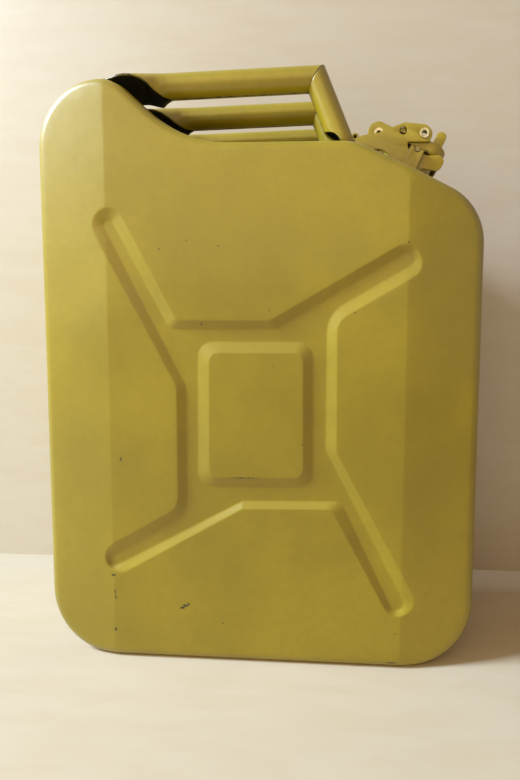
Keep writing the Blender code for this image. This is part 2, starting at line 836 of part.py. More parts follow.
def hood_plan(margin, rear, inset):
    """The hood seen from above: a sheet of margin inside it, and the round of its edge."""
    half = HOOD_HALF_WIDTH - margin - inset
    front = HOOD_FRONT - margin - inset
    radius = HOOD_FRONT_RADIUS - margin - inset
    corners = [(-rear, -half), (front, -half), (front, half), (-rear, half)]
    return rounded(corners, [0.0, radius, radius, 0.0])


def hood_block(name, margin, rear, low, collection, material=None):
    """A solid hood with its top edge rounded."""
    top = HOOD_TOP_N - margin
    radius = HOOD_EDGE_RADIUS - margin
    rows = [(0.0, low)]
    for i in range(4):
        angle = math.pi / 2 * i / 3
        rows.append((radius * (1 - math.cos(angle)), top - radius * (1 - math.sin(angle))))
    rings = [[(x, y, n) for x, y in hood_plan(margin, rear, inset)] for inset, n in rows]
    return mesh_object(name, loft(rings), collection, material)


def build_hood(frame, pivot, parts, cutters, paint):
    """The lid's pressed hood: crown and skirt, arms to the hinge, ears for the lever."""
    half = HOOD_HALF_WIDTH
    sheet = HOOD_SHEET
    hood = hood_block("lid_hood", 0.0, HOOD_REAR, HOOD_SKIRT_N, parts, paint)
    hang(hood, pivot, (HINGE_U, HINGE_N))
    room = hood_block("hood_room", sheet, HOOD_REAR + OVERRUN, HOOD_SKIRT_N - OVERRUN, cutters)
    as_cutter(room).parent = frame
    boolean(hood, room)
    eye = HINGE_EYE_RADIUS
    hinge = (HINGE_U, HINGE_N)
    axle = (PIVOT_U, PIVOT_N)
    shoulder = HOOD_TOP_N - HOOD_EDGE_RADIUS - sheet / 4
    cheek = arc(hinge, eye, 105, 255, 2 * ARC_STEPS)
    cheek += [
        (HINGE_U + eye, HINGE_N - eye * 0.8),
        (eye - HOOD_REAR, HOOD_SKIRT_N),
        (eye + sheet - HOOD_REAR, HOOD_SKIRT_N + sheet / 2),
        (PIVOT_U + HOOD_EAR_RADIUS, HOOD_SKIRT_N + sheet / 2),
    ]
    cheek += arc(axle, HOOD_EAR_RADIUS, 0, 180, 2 * ARC_STEPS)
    cheek += [(PIVOT_U - HOOD_EAR_RADIUS, shoulder), (sheet - HOOD_REAR, shoulder)]
    bore = circle(hinge, HINGE_PIN_RADIUS + RUNNING_GAP)
    low = half - sheet - HOOD_PROUD
    sides = mirrored_pair("hood_side", [cheek, bore], low, half + HOOD_PROUD, cutters)
    tab_corner = (TAB_FRONT - TAB_BACK) * 0.48
    tab_corners = [
        (TAB_BACK, HOOD_TOP_N - sheet / 2),
        (TAB_FRONT, HOOD_TOP_N - sheet / 2),
        (TAB_FRONT, TAB_N),
        (TAB_BACK, TAB_N),
    ]
    tab_loop = rounded(tab_corners, [0.0, 0.0, tab_corner, tab_corner])
    tab = upright_plate("hood_tab", [tab_loop], TAB_V - TAB_THICKNESS, TAB_V, cutters)
    join_all(hood, sides + [tab], frame)
    drills = (
        ((LOCK_U, LOCK_N), LOCK_RADIUS),
        (axle, PIVOT_PIN_RADIUS + RUNNING_GAP),
    )
    for place, radius in drills:
        drill = cross_bar("hood_drill", place, radius, -half * 2, half * 2, cutters)
        as_cutter(drill).parent = frame
        boolean(hood, drill)
    return hood


def build_seal(pivot, parts, cutters, paint, rubber, zinc):
    """Gasket, dished disc and the rivet that hangs them under the crown."""
    low = NECK_HEIGHT + RUNNING_GAP
    top = low + SEAL_THICKNESS
    soft = SEAL_THICKNESS / 4
    gasket = turned(
        "lid_gasket",
        [
            (SEAL_INNER, low),
            (SEAL_OUTER - soft, low),
            (SEAL_OUTER, low + soft),
            (SEAL_OUTER, top),
            (SEAL_INNER, top),
        ],
        parts,
        rubber,
    )
    plate = top + RUNNING_GAP
    roof = HOOD_TOP_N - HOOD_SHEET - RUNNING_GAP
    dish = SEAL_INNER - RUNNING_GAP
    disc = turned(
        "seal_disc",
        [
            (CAP_RIVET_RADIUS / 2 + RUNNING_GAP, low),
            (dish, low),
            (dish, plate),
            (SEAL_OUTER, plate),
            (SEAL_OUTER, plate + DISC_THICKNESS),
            (dish - DISC_THICKNESS, plate + DISC_THICKNESS),
            (dish - DISC_THICKNESS, low + DISC_THICKNESS),
            (CAP_RIVET_RADIUS / 2 + RUNNING_GAP, low + DISC_THICKNESS),
        ],
        parts,
        zinc,
    )
    shank = CAP_RIVET_RADIUS / 2
    rivet = turned(
        "cap_rivet",
        [
            (0.0, low - DISC_THICKNESS * 1.5),
            (shank * 1.6, low - DISC_THICKNESS * 1.2),
            (shank * 2, low - RUNNING_GAP),
            (shank, low - RUNNING_GAP),
            (shank, low + DISC_THICKNESS + RUNNING_GAP),
            (shank * 2, low + DISC_THICKNESS + RUNNING_GAP),
            (shank * 2, roof),
            (0.0, roof),
        ],
        parts,
        zinc,
        PIN_SIDES,
    )
    for piece in (gasket, disc, rivet):
        hang(piece, pivot, (HINGE_U, HINGE_N))


def lever_points(shares):
    """Places on the lever, given from its pivot in lever lengths, with their radii."""
    places = [(PIVOT_U + LEVER_LENGTH * u, PIVOT_N + LEVER_LENGTH * n) for u, n, radius in shares]
    return places, [LEVER_LENGTH * radius for u, n, radius in shares]


def cheek_outline():
    """The cheek, from the tail along belly, jaw and mouth to the pivot's eye and back."""
    cheek_shares = (
        (-0.986, -0.690, 0.04),
        (-0.736, -0.610, 0.12),
        (-0.496, -0.500, 0.20),
        (-0.316, -0.610, 0.12),
        (-0.176, -0.710, 0.08),
        (0.094, -0.690, 0.10),
        (0.202, -0.530, 0.12),
        (0.484, -0.460, 0.10),
        (0.504, -0.160, 0.10),
        (0.194, -0.306, 0.12),
        (-0.136, -0.334, 0.03),
        (-0.200, -0.240, 0.03),
        (0.136, -0.090, 0.05),
        (0.132, 0.080, 0.13),
        (-0.030, 0.140, 0.13),
        (-0.376, 0.026, 0.10),
        (-0.600, -0.194, 0.30),
        (-0.696, -0.294, 0.20),
        (-0.926, -0.440, 0.12),
        (-0.996, -0.530, 0.06),
    )
    places, radii = lever_points(cheek_shares)
    return rounded(places, radii, 4)


def cam_outline():
    """The cam plate's outline: its face keeps clear of the stud's way out."""
    away = STUD_RADIUS + RUNNING_GAP
    slant = math.atan2(PIVOT_U - HINGE_U, PIVOT_N - HINGE_N)
    down = (math.cos(slant), -math.sin(slant))
    side = (-down[1], down[0])
    top = (STUD_U - side[0] * away, STUD_N - side[1] * away)
    reach = STUD_RADIUS * 3
    foot = (top[0] + down[0] * reach, top[1] + down[1] * reach)
    corners = [
        top,
        (top[0] - STUD_RADIUS * 1.5, top[1]),
        (top[0] - STUD_RADIUS * 1.5, foot[1]),
        foot,
    ]
    return corners


def build_lever(frame, pivot, parts, cutters, paint):
    """The cam lever: two cheeks, the web over the hood, the tail web and its finger tab."""
    outside = CHEEK_INSIDE + CHEEK_THICKNESS
    axle = (PIVOT_U, PIVOT_N)
    bore = circle(axle, PIVOT_PIN_RADIUS + RUNNING_GAP)
    lock = circle((LOCK_U, LOCK_N), LOCK_RADIUS)
    loops = [cheek_outline(), bore, lock]
    lever = upright_plate("cam_lever", loops, -outside, -CHEEK_INSIDE, parts, paint)
    hang(lever, pivot, axle)
    pieces = [upright_plate("far_cheek", loops, CHEEK_INSIDE, outside, cutters)]
    half = CHEEK_INSIDE + CHEEK_THICKNESS / 2
    web_shares = ((-0.356, -0.010, 0.0), (-0.156, 0.006, 0.0))
    (back, front), flat = lever_points(web_shares)
    web = [back, front, (front[0], front[1] + WEB_SHEET), (back[0], back[1] + WEB_SHEET)]
    pieces.append(upright_plate("top_web", [web], -half, half, cutters))
    tail_shares = ((-0.985, -0.660, 0.0), (-0.995, -0.500, 0.0))
    (low, high), flat = lever_points(tail_shares)
    tail = [low, (low[0] + WEB_SHEET, low[1]), (high[0] + WEB_SHEET, high[1]), high]
    pieces.append(upright_plate("tail_web", [tail], -half, half, cutters))
    curl = [high, (high[0] + WEB_SHEET, high[1] - WEB_SHEET)]
    finger_shares = ((-1.030, -0.380, 0.0), (-1.080, -0.290, 0.0), (-1.140, -0.240, 0.0))
    tips, flat = lever_points(finger_shares)
    inner = [curl[1]] + [(u + WEB_SHEET, n) for u, n in tips[:-1]]
    inner.append((tips[-1][0] + WEB_SHEET / 2, tips[-1][1] + WEB_SHEET))
    finger = inner + tips[::-1] + [(high[0], high[1] - WEB_SHEET)]
    width = FINGER_WIDTH / 2
    pieces.append(upright_plate("finger_tab", [finger], -width, width, cutters))
    join_all(lever, pieces, frame)
    return lever


def build_cam(name, side, pivot, parts, zinc):
    """The cam plate on a cheek's outer face, which hooks under the stud."""
    near = CHEEK_INSIDE + CHEEK_THICKNESS + CAM_SEAT
    far = near + CAM_THICKNESS
    low, high = (near, far) if side == BACK else (-far, -near)
    cam = upright_plate(name, [cam_outline()], low, high, parts, zinc)
    return hang(cam, pivot, (PIVOT_U, PIVOT_N))


def main():
    clear_scene()
    parts = make_collection("fuel_can")
    cutters = make_collection("cutters")
    paint = make_material("paint", PAINT, 0.32, 0.0)
    zinc = make_material("zinc", ZINC, 0.35, 1.0)
    bare = make_material("bare_steel", RAW_STEEL, 0.45, 0.9)
    rubber = make_material("rubber", RUBBER, 0.70, 0.0)
    frame = slope_frame(cutters)
    hinge = empty_at("lid_hinge", frame, (HINGE_U, 0, HINGE_N), cutters)
    arm = (PIVOT_U - HINGE_U, 0, PIVOT_N - HINGE_N)
    axle = empty_at("lever_pivot", hinge, arm, cutters)
    bpy.context.view_layer.update()
    build_shell("front_shell", FRONT, frame, parts, cutters, paint)
    build_shell("rear_shell", BACK, frame, parts, cutters, paint)
    rows = (("front", -HANDLE_SPACING), ("middle", 0.0), ("rear", HANDLE_SPACING))
    for name, y in rows:
        build_grip(name + "_grip", y, parts, cutters, paint)
        build_strut(name + "_strut", y, parts, cutters, paint)
    build_neck(frame, parts, paint)
    build_breather(frame, parts, zinc)
    build_bracket(frame, parts, cutters, paint)
    build_stud("front_stud", FRONT, frame, parts, bare)
    build_stud("rear_stud", BACK, frame, parts, bare)
    build_hinge_pin(frame, parts, zinc)
    build_hood(frame, hinge, parts, cutters, paint)
    build_seal(hinge, parts, cutters, paint, rubber, zinc)
    build_pivot_rivet("front_pivot_rivet", FRONT, hinge, parts, zinc)
    build_pivot_rivet("rear_pivot_rivet", BACK, hinge, parts, zinc)
    build_lever(frame, axle, parts, cutters, paint)
    build_cam("front_cam", FRONT, axle, parts, bare)
    build_cam("rear_cam", BACK, axle, parts, bare)


main()
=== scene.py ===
"""Looks of the pressed-steel fuel can: painted shells, rolled handles, cam closure and stage.

Shapes are worked out in millimetres and scaled when they become a mesh. The settings, the
materials and the stage are in metres.
"""

import math

import bmesh
import bpy
import numpy as np
from bpy.props import FloatProperty, FloatVectorProperty, IntProperty, PointerProperty
from bpy.types import NodeSocket, Operator, Panel, PropertyGroup
from mathutils import Matrix, Vector
from mathutils.geometry import delaunay_2d_cdt
from mathutils.kdtree import KDTree


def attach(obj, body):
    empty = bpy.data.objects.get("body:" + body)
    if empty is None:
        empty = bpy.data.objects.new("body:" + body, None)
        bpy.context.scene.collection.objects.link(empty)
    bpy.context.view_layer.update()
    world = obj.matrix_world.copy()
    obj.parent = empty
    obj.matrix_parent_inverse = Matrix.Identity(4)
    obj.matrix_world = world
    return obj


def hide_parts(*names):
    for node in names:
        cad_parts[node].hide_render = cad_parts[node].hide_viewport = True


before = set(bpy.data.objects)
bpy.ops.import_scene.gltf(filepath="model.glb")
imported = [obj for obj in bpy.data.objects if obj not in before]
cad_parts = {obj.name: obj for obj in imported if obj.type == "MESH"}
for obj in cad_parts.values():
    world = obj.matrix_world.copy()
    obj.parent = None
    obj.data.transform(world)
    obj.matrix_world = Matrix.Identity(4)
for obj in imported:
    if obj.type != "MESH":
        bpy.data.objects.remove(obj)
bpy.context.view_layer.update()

bl_info = {
    "name": "Fuel Can Looks",
    "version": (1, 0, 0),
    "blender": (4, 5, 0),
    "location": "View3D > Sidebar > Fuel Can",
    "description": "Builds the visible surface of a pressed-steel fuel can around its CAD frame",
    "category": "Object",
}

MM = 0.001
CAN, LID, LEVER = "can", "lid", "lever"
WELD_GAP = 0.3

# Body outline: corners in X and Z, and the radius of each (negative is hollow)
HALF_WIDTH = 172.5
TOP_Z = 406.0
HUMP_Z = 454.0
HUMP_RADIUS = 50.0
SHOULDER_X = 73.5
SHOULDER_RADIUS = 40.0
SHOULDER_ANGLE = math.radians(24.4)
BODY_CORNERS = (
    (-HALF_WIDTH, 0.0),
    (HALF_WIDTH, 0.0),
    (HALF_WIDTH, TOP_Z - (HALF_WIDTH - SHOULDER_X) * math.tan(SHOULDER_ANGLE)),
    (SHOULDER_X, TOP_Z),
    (-54.6, TOP_Z),
    (-108.2, HUMP_Z),
    (-HALF_WIDTH, HUMP_Z),
)
BODY_RADII = (50.0, 50.0, 45.0, SHOULDER_RADIUS, -90.0, 36.0, HUMP_RADIUS)
EDGE_PITCH = 7.0

# A half shell's section, from its weld flange to the straight side wall: inset and depth
FLANGE_ROWS = (
    (1.5, 0.15), (1.2, 0.4), (1.2, 1.1), (1.5, 1.35), (3.6, 1.4), (4.0, 1.8),
    (4.0, 4.3), (3.6, 5.2), (0.7, 7.5), (0.15, 8.1), (0.0, 9.0), (0.0, 26.0), (0.0, 50.0),
)
FACE_Y = 82.5
FACE_RADIUS = 7.5
FACE_STEPS = 9

# The flanks fall back outside the creases, the more the further a point is from the seam
CREASE_X = 114.4
FLANK_SLOPE = math.tan(math.radians(8.0))
CREASE_SOFTNESS = 0.5
BEND_FROM_Y = 9.0
DENTS_FROM_Y = 66.0

# The cross pressing: corners in X and Z with their rounding. The mouth is where the face
# bends down, and the foot is where the wall meets the sunken floor.
PRESS_MOUTH = (
    (-61.2, 125.7, 16.0), (-126.1, 87.9, 12.0), (-113.8, 66.6, 12.0), (-10.0, 126.0, 3.0),
    (59.4, 127.6, 6.0), (107.4, 39.2, 11.0), (129.0, 51.0, 11.0), (62.9, 172.3, 4.0),
    (62.4, 272.8, 16.0), (129.1, 311.8, 12.0), (116.3, 333.6, 12.0), (11.5, 272.9, 3.0),
    (-60.5, 272.5, 5.0), (-107.6, 361.5, 12.0), (-130.0, 349.5, 12.0), (-61.3, 221.4, 12.0),
)
PRESS_FOOT = (
    (-54.8, 120.3, 22.0), (-120.3, 80.8, 3.8), (-115.6, 74.6, 3.8), (-10.5, 131.6, 3.0),
    (67.0, 133.2, 9.0), (108.6, 45.3, 5.0), (118.5, 50.5, 5.0), (54.3, 174.0, 5.0),
    (54.5, 278.2, 24.0), (121.3, 317.1, 4.8), (115.8, 325.9, 4.8), (15.8, 266.7, 3.0),
    (-67.3, 266.0, 8.0), (-112.4, 350.4, 3.6), (-118.6, 346.0, 3.6), (-54.6, 222.1, 14.0),
)
MIDDLE_FOOT = ((-46.0, 142.4, 11.5), (44.8, 143.4, 11.5), (44.0, 256.9, 11.5), (-45.0, 256.3, 11.5))
MIDDLE_TOP = ((-36.2, 150.8, 7.5), (37.3, 151.6, 7.5), (36.7, 248.6, 7.5), (-35.5, 248.0, 7.5))
PRESS_SOFTNESS = 0.4

# Points of the face's mesh: rows beside each bend and crease, rings round a small dent in
# shares of its size, and a grid. Each set keeps a clearance from the sets before it.
BEND_ROWS, BEND_CLEARANCE = (0.0, -0.5, 0.5, -1.6, 1.6), 0.35
CREASE_ROWS, CREASE_CLEARANCE = (-1.2, -0.3, 0.3, 1.2), 0.8
CREASE_PITCH = 4.0
DENT_RINGS, DENT_CLEARANCE = (0.0, 0.35, 0.7, 1.05, 1.5, 2.0), 0.4
SMALL_DENT = 8.0
GRID_PITCH, GRID_CLEARANCE = 6.0, 3.2

# Half the depth of the faint waves, and the front's dents and bumps: place in X and Z, size
# and depth
WAVE_DEPTH = 0.10
DENTS = (
    (-75.1, 446.3, 4.0, 0.5), (112.6, 49.5, 3.0, -0.12), (-112.0, 349.5, 6.0, 0.3),
    (-26.9, 32.0, 3.0, 0.15), (-56.8, 45.0, 4.0, 0.2), (60.0, 378.0, 16.0, 0.25),
    (-140.0, 300.0, 22.0, 0.35), (140.0, 140.0, 25.0, 0.3),
)

# Chips in the front's paint, in metres: place in X and Z, half width and half height
CHIPS_Y = -0.0805
CHIPS = (
    (-0.0588, 0.0436, 0.0018, 0.0010), (-0.0562, 0.0453, 0.0024, 0.0008),
    (-0.0540, 0.0470, 0.0013, 0.0007), (-0.1148, 0.0687, 0.0020, 0.0007),
    (-0.1139, 0.0550, 0.0006, 0.0017), (-0.1133, 0.0505, 0.0007, 0.0022),
    (-0.1139, 0.0234, 0.0007, 0.0015), (-0.0260, 0.0323, 0.0013, 0.0004),
    (-0.1065, 0.1637, 0.0005, 0.0022), (-0.0523, 0.3322, 0.0006, 0.0005),
    (-0.0279, 0.3284, 0.0006, 0.0005), (-0.0732, 0.3263, 0.0005, 0.0005),
    (0.0107, 0.2808, 0.0005, 0.0005), (0.0139, 0.2385, 0.0005, 0.0005),
    (-0.0415, 0.2707, 0.0004, 0.0016), (0.1143, 0.3309, 0.0005, 0.0008),
    (0.0755, 0.2789, 0.0006, 0.0005), (0.0364, 0.1779, 0.0005, 0.0006),
    (-0.0087, 0.1509, 0.0110, 0.0003), (0.1080, 0.0050, 0.0035, 0.0006),
    (0.1104, 0.0292, 0.0008, 0.0006),
)

# Rolled handles: each is a grip and a slanted strut that meet in a mitre
HANDLE_ROWS = (("front", -58.0), ("middle", 0.0), ("rear", 58.0))
TUBE_RADIUS = 9.5
TUBE_SHEET = 1.5
TUBE_BEND = TUBE_RADIUS - TUBE_SHEET / 2
HANDLE_RISE = math.radians(1.7)
STRUT_ANGLE = math.radians(67.3)
HANDLE_Z = HUMP_Z + 3.6
MITRE_X = 44.0
MITRE = Vector((MITRE_X, 0.0, HANDLE_Z + MITRE_X * math.tan(HANDLE_RISE)))
ALONG_GRIP = Vector((math.cos(HANDLE_RISE), 0, math.sin(HANDLE_RISE)))
OVER_GRIP = Vector((-math.sin(HANDLE_RISE), 0, math.cos(HANDLE_RISE)))
DOWN_STRUT = Vector((math.cos(STRUT_ANGLE), 0, -math.sin(STRUT_ANGLE)))
OUT_OF_STRUT = Vector((math.sin(STRUT_ANGLE), 0, math.cos(STRUT_ANGLE)))
MITRE_NORMAL = (ALONG_GRIP + DOWN_STRUT).normalized()
STRUT_LENGTH = (MITRE.z - TOP_Z) / -DOWN_STRUT.z

# The tongue that each grip flattens into over the hump: where it starts and ends in X, its
# reach to the front and to the back of its middle, and its half width and bend at the end
TONGUE_X = (-71.2, -128.2)
TONGUE_REACH = {"front": (19.0, 25.0), "middle": (24.0, 24.0), "rear": (25.0, 19.0)}
TONGUE_END = 14.0
TONGUE_BEND = 260.0
# Place along the tongue, its fall, its bend in tube bends, and its share of the reach. From a
# share of 1 on, it narrows towards its end's half width.
TONGUE_ROWS = (
    (0.000, 0.00, 1.00, 0.0), (0.114, 0.00, 1.20, 0.4), (0.228, 0.03, 1.75, 0.8),
    (0.351, 0.10, 2.70, 1.0), (0.461, 0.28, 4.30, 1.0), (0.579, 0.57, 7.50, 1.0),
    (0.702, 0.87, 15.0, 1.5), (0.842, 0.99, 26.0, 2.0), (0.950, 1.00, 29.0, 2.0),
    (1.000, 1.00, 29.7, 2.3),
)
GRIP_ROWS_X = (-60.0, -40.0, -15.0, 10.0, 25.0)
# The strut's inner side is cut open at its foot: place in tube radii, and share of the cut
FOOT_CUT_LENGTH = 18.5
FOOT_CUT = ((0.12, 0.16), (0.28, 0.42), (0.48, 0.66), (0.72, 0.86), (1.0, 0.97), (1.2, 1.0))
FOOT_HALF_TURN = math.radians(100.8)
MITRE_GAP = 0.06
MITRE_ROW = 0.8
FOOT_GAP = 0.1

# Weld beads of the handles: radius, and half turn round the tube or place in X
MITRE_BEAD, MITRE_BEAD_TURN, MITRE_BEAD_SUNK = 0.45, math.radians(150), 0.55
FOOT_BEAD, FOOT_BEAD_TURN = 0.9, math.radians(100)
TONGUE_BEAD, TONGUE_BEAD_X, TONGUE_BEAD_RISE = 0.8, (-122.0, -112.0), 0.25

# The closure's frame: u down the shoulder, v to the back, n square to the shoulder
CLOSURE_X = 110.0
CLOSURE_Z = TOP_Z - (CLOSURE_X - SHOULDER_X) * math.tan(SHOULDER_ANGLE)
CLOSURE_TURN = Matrix.Rotation(SHOULDER_ANGLE, 4, "Y")
CLOSURE = Matrix.Translation(Vector((CLOSURE_X, 0.0, CLOSURE_Z)) * MM) @ CLOSURE_TURN
CLOSURE_MM = CLOSURE @ Matrix.Scale(MM, 4)

# Places of the closure in u and n, and the radii of the holes there
HINGE = (-31.0, 31.5)
PIVOT = (3.8, 45.5)
LOCK = (-12.9, 40.4)
STUD = (4.3, 30.3)
EYE_RADIUS = 3.3
LOCK_RADIUS = 3.2

# Plates of the closure that stand on both sides of the neck: where each starts and ends in v
EARS = (21.9, 24.1)
HOOD_SIDES = (24.3, 26.5)
CHEEKS = (26.9, 28.6)
LUGS = (29.8, 32.6)

# Neck, with the bead at its mouth, and the saddle round it
NECK_RADIUS = 22.0
NECK_INSIDE = 20.6
NECK_FOOT = -6.0
NECK_HOLE = 22.2
NECK_CUT = (-34.0, 6.0)
MOUTH_BEAD = (22.2, 33.4)
MOUTH_BEAD_RADIUS = 1.6
# Its outside swells a little under the bead and at its weld to the saddle
NECK_OUTSIDE = (
    (22.35, 31.2), (NECK_RADIUS, 30.6), (NECK_RADIUS, 3.4), (22.3, 2.6),
    (NECK_RADIUS, -0.5), (NECK_RADIUS, NECK_FOOT),
)
SADDLE_CORNERS = ((-35.8, -31.9), (13.0, -31.9), (13.0, 31.9), (-35.8, 31.9))
SADDLE_RADIUS = 6.0
SADDLE_NOTCH = 22.4
SADDLE_TOP = 2.3

# Outlines of the hinge's ears and the studs' lugs, in u and n
PLATE_FOOT = 0.8
EAR_RADIUS = 7.2
EAR_FOOT = (-36.8, -24.5)
LUG_BACK = -2.0
LUG_FRONT = 10.0
LUG_TOP = 31.0
STUD_NOTCH = 2.6

# Pressed hood of the lid
HOOD_SHEET = 2.0
HOOD_HALF_WIDTH = 26.4
HOOD_BACK = -20.0
HOOD_FRONT = 27.2
HOOD_FRONT_RADIUS = 12.5
HOOD_SKIRT = (32.6, 36.0)
HOOD_TOP = 43.4
HOOD_EDGE_RADIUS = 2.8
# Its side plates: the rounds at the hinge and the lever's pivot, and the edges between them
HOOD_HINGE_ROUND = 9.3
HOOD_PIVOT_ROUND = 6.2
HOOD_SIDE_FOOT = ((-21.7, 24.06), (-10.7, 32.6), (-8.7, 33.6), (10.0, 33.6))
HOOD_SIDE_TOP = 40.1
HOOD_SIDE_BACK = -18.0
# Its upright tab: corners in u and n with their rounding, and where it starts and ends in v
TAB = ((13.5, 42.0, 0), (22.0, 42.0, 0), (22.0, 55.5, 4.1), (13.5, 55.5, 4.1))
TAB_SPAN = (-21.0, -19.0)

# Cam lever: its cheek's corners from the pivot in u and n with their rounding, as shares of
# its length, round the tail, belly, jaw, mouth, pivot eye and back
LEVER_LENGTH = 50.0
LEVER_SHEET = 1.6
LEVER_WEB_HALF = 27.8
CHEEK = (
    (-0.986, -0.690, 0.04), (-0.736, -0.610, 0.12), (-0.496, -0.500, 0.20),
    (-0.316, -0.610, 0.12), (-0.176, -0.710, 0.08), (0.094, -0.690, 0.10),
    (0.202, -0.530, 0.12), (0.484, -0.460, 0.10), (0.504, -0.160, 0.10),
    (0.194, -0.306, 0.12), (-0.136, -0.334, 0.03), (-0.200, -0.240, 0.03),
    (0.136, -0.090, 0.05), (0.132, 0.080, 0.13), (-0.030, 0.140, 0.13),
    (-0.376, 0.026, 0.10), (-0.600, -0.194, 0.30), (-0.696, -0.294, 0.20),
    (-0.926, -0.440, 0.12), (-0.996, -0.530, 0.06),
)
WEB = ((-0.356, -0.010), (-0.156, 0.006))
TAIL = ((-0.985, -0.660), (-0.995, -0.500))
FINGER_LIP = (-50.0, 27.0)
FINGER_LIP_RADIUS = 3.2
FINGER_HALF = 10.0

# Profiles of the turned pieces, as radius and height
STUD_PROFILE = ((0.0, 28.9), (2.0, 28.9), (2.3, 29.2), (2.3, 32.3), (2.0, 32.6), (0.0, 32.6))
PIN_HALF_PROFILE = ((3.0, 26.55), (4.0, 26.55), (4.1, 26.66), (3.6, 26.72), (1.9, 26.72))
RIVET_PROFILE = (
    (1.9, 24.1), (3.0, 24.1), (3.0, 28.9), (3.9, 28.9), (4.2, 29.1), (4.05, 29.45),
    (3.5, 29.6), (2.7, 29.55), (2.1, 29.3), (1.9, 28.9),
)
GASKET_PROFILE = (
    (16.5, 35.3), (22.6, 35.3), (23.2, 35.6), (23.4, 36.2), (23.4, 37.6), (23.0, 38.0),
    (17.0, 38.0), (16.5, 37.6),
)
DISC_PROFILE = (
    (2.55, 35.3), (16.2, 35.3), (16.2, 38.3), (23.4, 38.3), (23.4, 39.3), (15.2, 39.3),
    (15.2, 36.3), (2.55, 36.3),
)
CAP_RIVET_PROFILE = (
    (0.0, 33.8), (2.0, 33.9), (3.6, 34.2), (4.4, 34.8), (4.5, 35.0), (2.25, 35.0),
    (2.25, 36.6), (4.5, 36.6), (4.5, 41.1), (0.0, 41.1),
)

# Colours of the bare metals and the rubber
# Bare steel inside the rolled tubes, made near-black as painted shade for the shadow inside them and
# under the tongues
TUBE_INSIDE_SHADE = (0.030, 0.027, 0.022)
# The studs are darker than the paint as painted shade, for the shade in the lugs' notches
STUD_STEEL_SHADED = (0.22, 0.18, 0.08)
CAM_STEEL = (0.24, 0.20, 0.09)
DISC_STEEL = (0.48, 0.45, 0.38)
BREATHER_STEEL = (0.35, 0.33, 0.29)
PIN_ZINC = (0.50, 0.45, 0.26)
RIVET_ZINC = (0.52, 0.47, 0.27)
RUBBER = (0.02, 0.02, 0.019)
RUBBER_BLOOM = (0.06, 0.058, 0.05)

# Stage: the boards' sizes, how near the wall a reflection passes it, and the backdrop's light
BOARD_HALF_WIDTH = 2.0
WALL_HEIGHT = 2.2
WALL_CLEARANCE = 0.05
SKY = (1.0, 0.62, 0.40)
BACKDROP = (0.86, 0.82, 0.76)
LAMP_TARGET = Vector((0.0, 0.0, 0.25))
# Name, place, size, share of the key's power, colour, and whether gloss shows it
LAMPS = (
    ("key", (-2.15, -0.65, 1.90), 0.70, 1.000, (0.72, 0.86, 1.0), True),
    ("side", (-1.35, -0.95, 0.75), 1.0, 0.050, (1.0, 0.92, 0.44), True),
    ("front", (-0.15, -1.30, 1.00), 1.2, 0.052, (1.0, 0.68, 0.35), True),
    ("back", (0.50, 1.50, 0.35), 1.0, 0.050, (1.0, 0.86, 0.68), False),
)

# Camera, solved on the can's outline
CAMERA_PLACE = (0.0646246, -0.4522146, 0.2624361)
CAMERA_RIGHT = Vector((0.99827, 0.05828, 0.00782))
CAMERA_UP = Vector((-0.01234, 0.07771, 0.99690))
CAMERA_LENS = 22.6086
CAMERA_SENSOR = 36.0
CAMERA_SHIFT = (-0.0660267, -0.0215345)


class PaintSettings(PropertyGroup):
    colour: FloatVectorProperty(
        name="Paint", description="Colour of the body paint", subtype="COLOR",
        default=(0.308, 0.237, 0.008), min=0.0, max=1.0)
    dark: FloatVectorProperty(
        name="Shaded paint", description="Colour of the paint in grime and hollows",
        subtype="COLOR", default=(0.209, 0.158, 0.008), min=0.0, max=1.0)
    metal: FloatVectorProperty(
        name="Bare metal", description="Colour where the paint has chipped",
        subtype="COLOR", default=(0.036, 0.023, 0.011), min=0.0, max=1.0)
    roughness: FloatProperty(
        name="Roughness", description="Roughness of the paint", default=0.36, min=0.0, max=1.0)


class BodySettings(PropertyGroup):
    pitch: FloatProperty(
        name="Pressing pitch", description="Spacing of the mesh on the pressing",
        default=0.0022, min=0.001, max=0.01, unit="LENGTH")
    press_depth: FloatProperty(
        name="Pressing depth", description="Depth of the cross pressing",
        default=0.0034, min=0.0, max=0.01, unit="LENGTH")
    sheet: FloatProperty(
        name="Sheet", description="Thickness of the body sheet",
        default=0.0009, min=0.0005, max=0.002, unit="LENGTH")


class HandleSettings(PropertyGroup):
    sides: IntProperty(
        name="Sides", description="Faces round a rolled tube", default=44, min=16, max=96)
    seam: FloatProperty(
        name="Butt gap", description="Open seam under each tube",
        default=0.0004, min=0.0, max=0.002, unit="LENGTH")


class ClosureSettings(PropertyGroup):
    edge: FloatProperty(
        name="Edge round", description="Rounding of the stamped plates' edges",
        default=0.00035, min=0.0, max=0.001, unit="LENGTH")
    sides: IntProperty(
        name="Sides", description="Faces round a turned piece", default=56, min=24, max=96)


class StageSettings(PropertyGroup):
    floor: FloatVectorProperty(
        name="Floor", description="Colour of the table top", subtype="COLOR",
        default=(0.640, 0.560, 0.440), min=0.0, max=1.0)
    wall: FloatVectorProperty(
        name="Wall", description="Colour of the backdrop", subtype="COLOR",
        default=(0.600, 0.552, 0.480), min=0.0, max=1.0)
    wall_distance: FloatProperty(
        name="Wall distance", description="Distance of the backdrop behind the middle of the can",
        default=0.0905, min=0.083, max=2.0, unit="LENGTH")
    key: FloatProperty(
        name="Key light", description="Power of the large lamp on the left", default=142.0, min=0.0)
    fill: FloatProperty(
        name="Fill light", description="Strength of the surrounding light", default=0.098, min=0.0)


def settings():
    return bpy.context.scene.fuel_can


# Nodes and materials

def feed(tree, socket, value):
    """Link a node's output to an input, or set the input to a number, vector or colour."""
    if isinstance(value, NodeSocket):
        tree.links.new(value, socket)
    elif socket.type == "RGBA":
        socket.default_value = (*value[:3], 1.0)
    else:
        socket.default_value = value


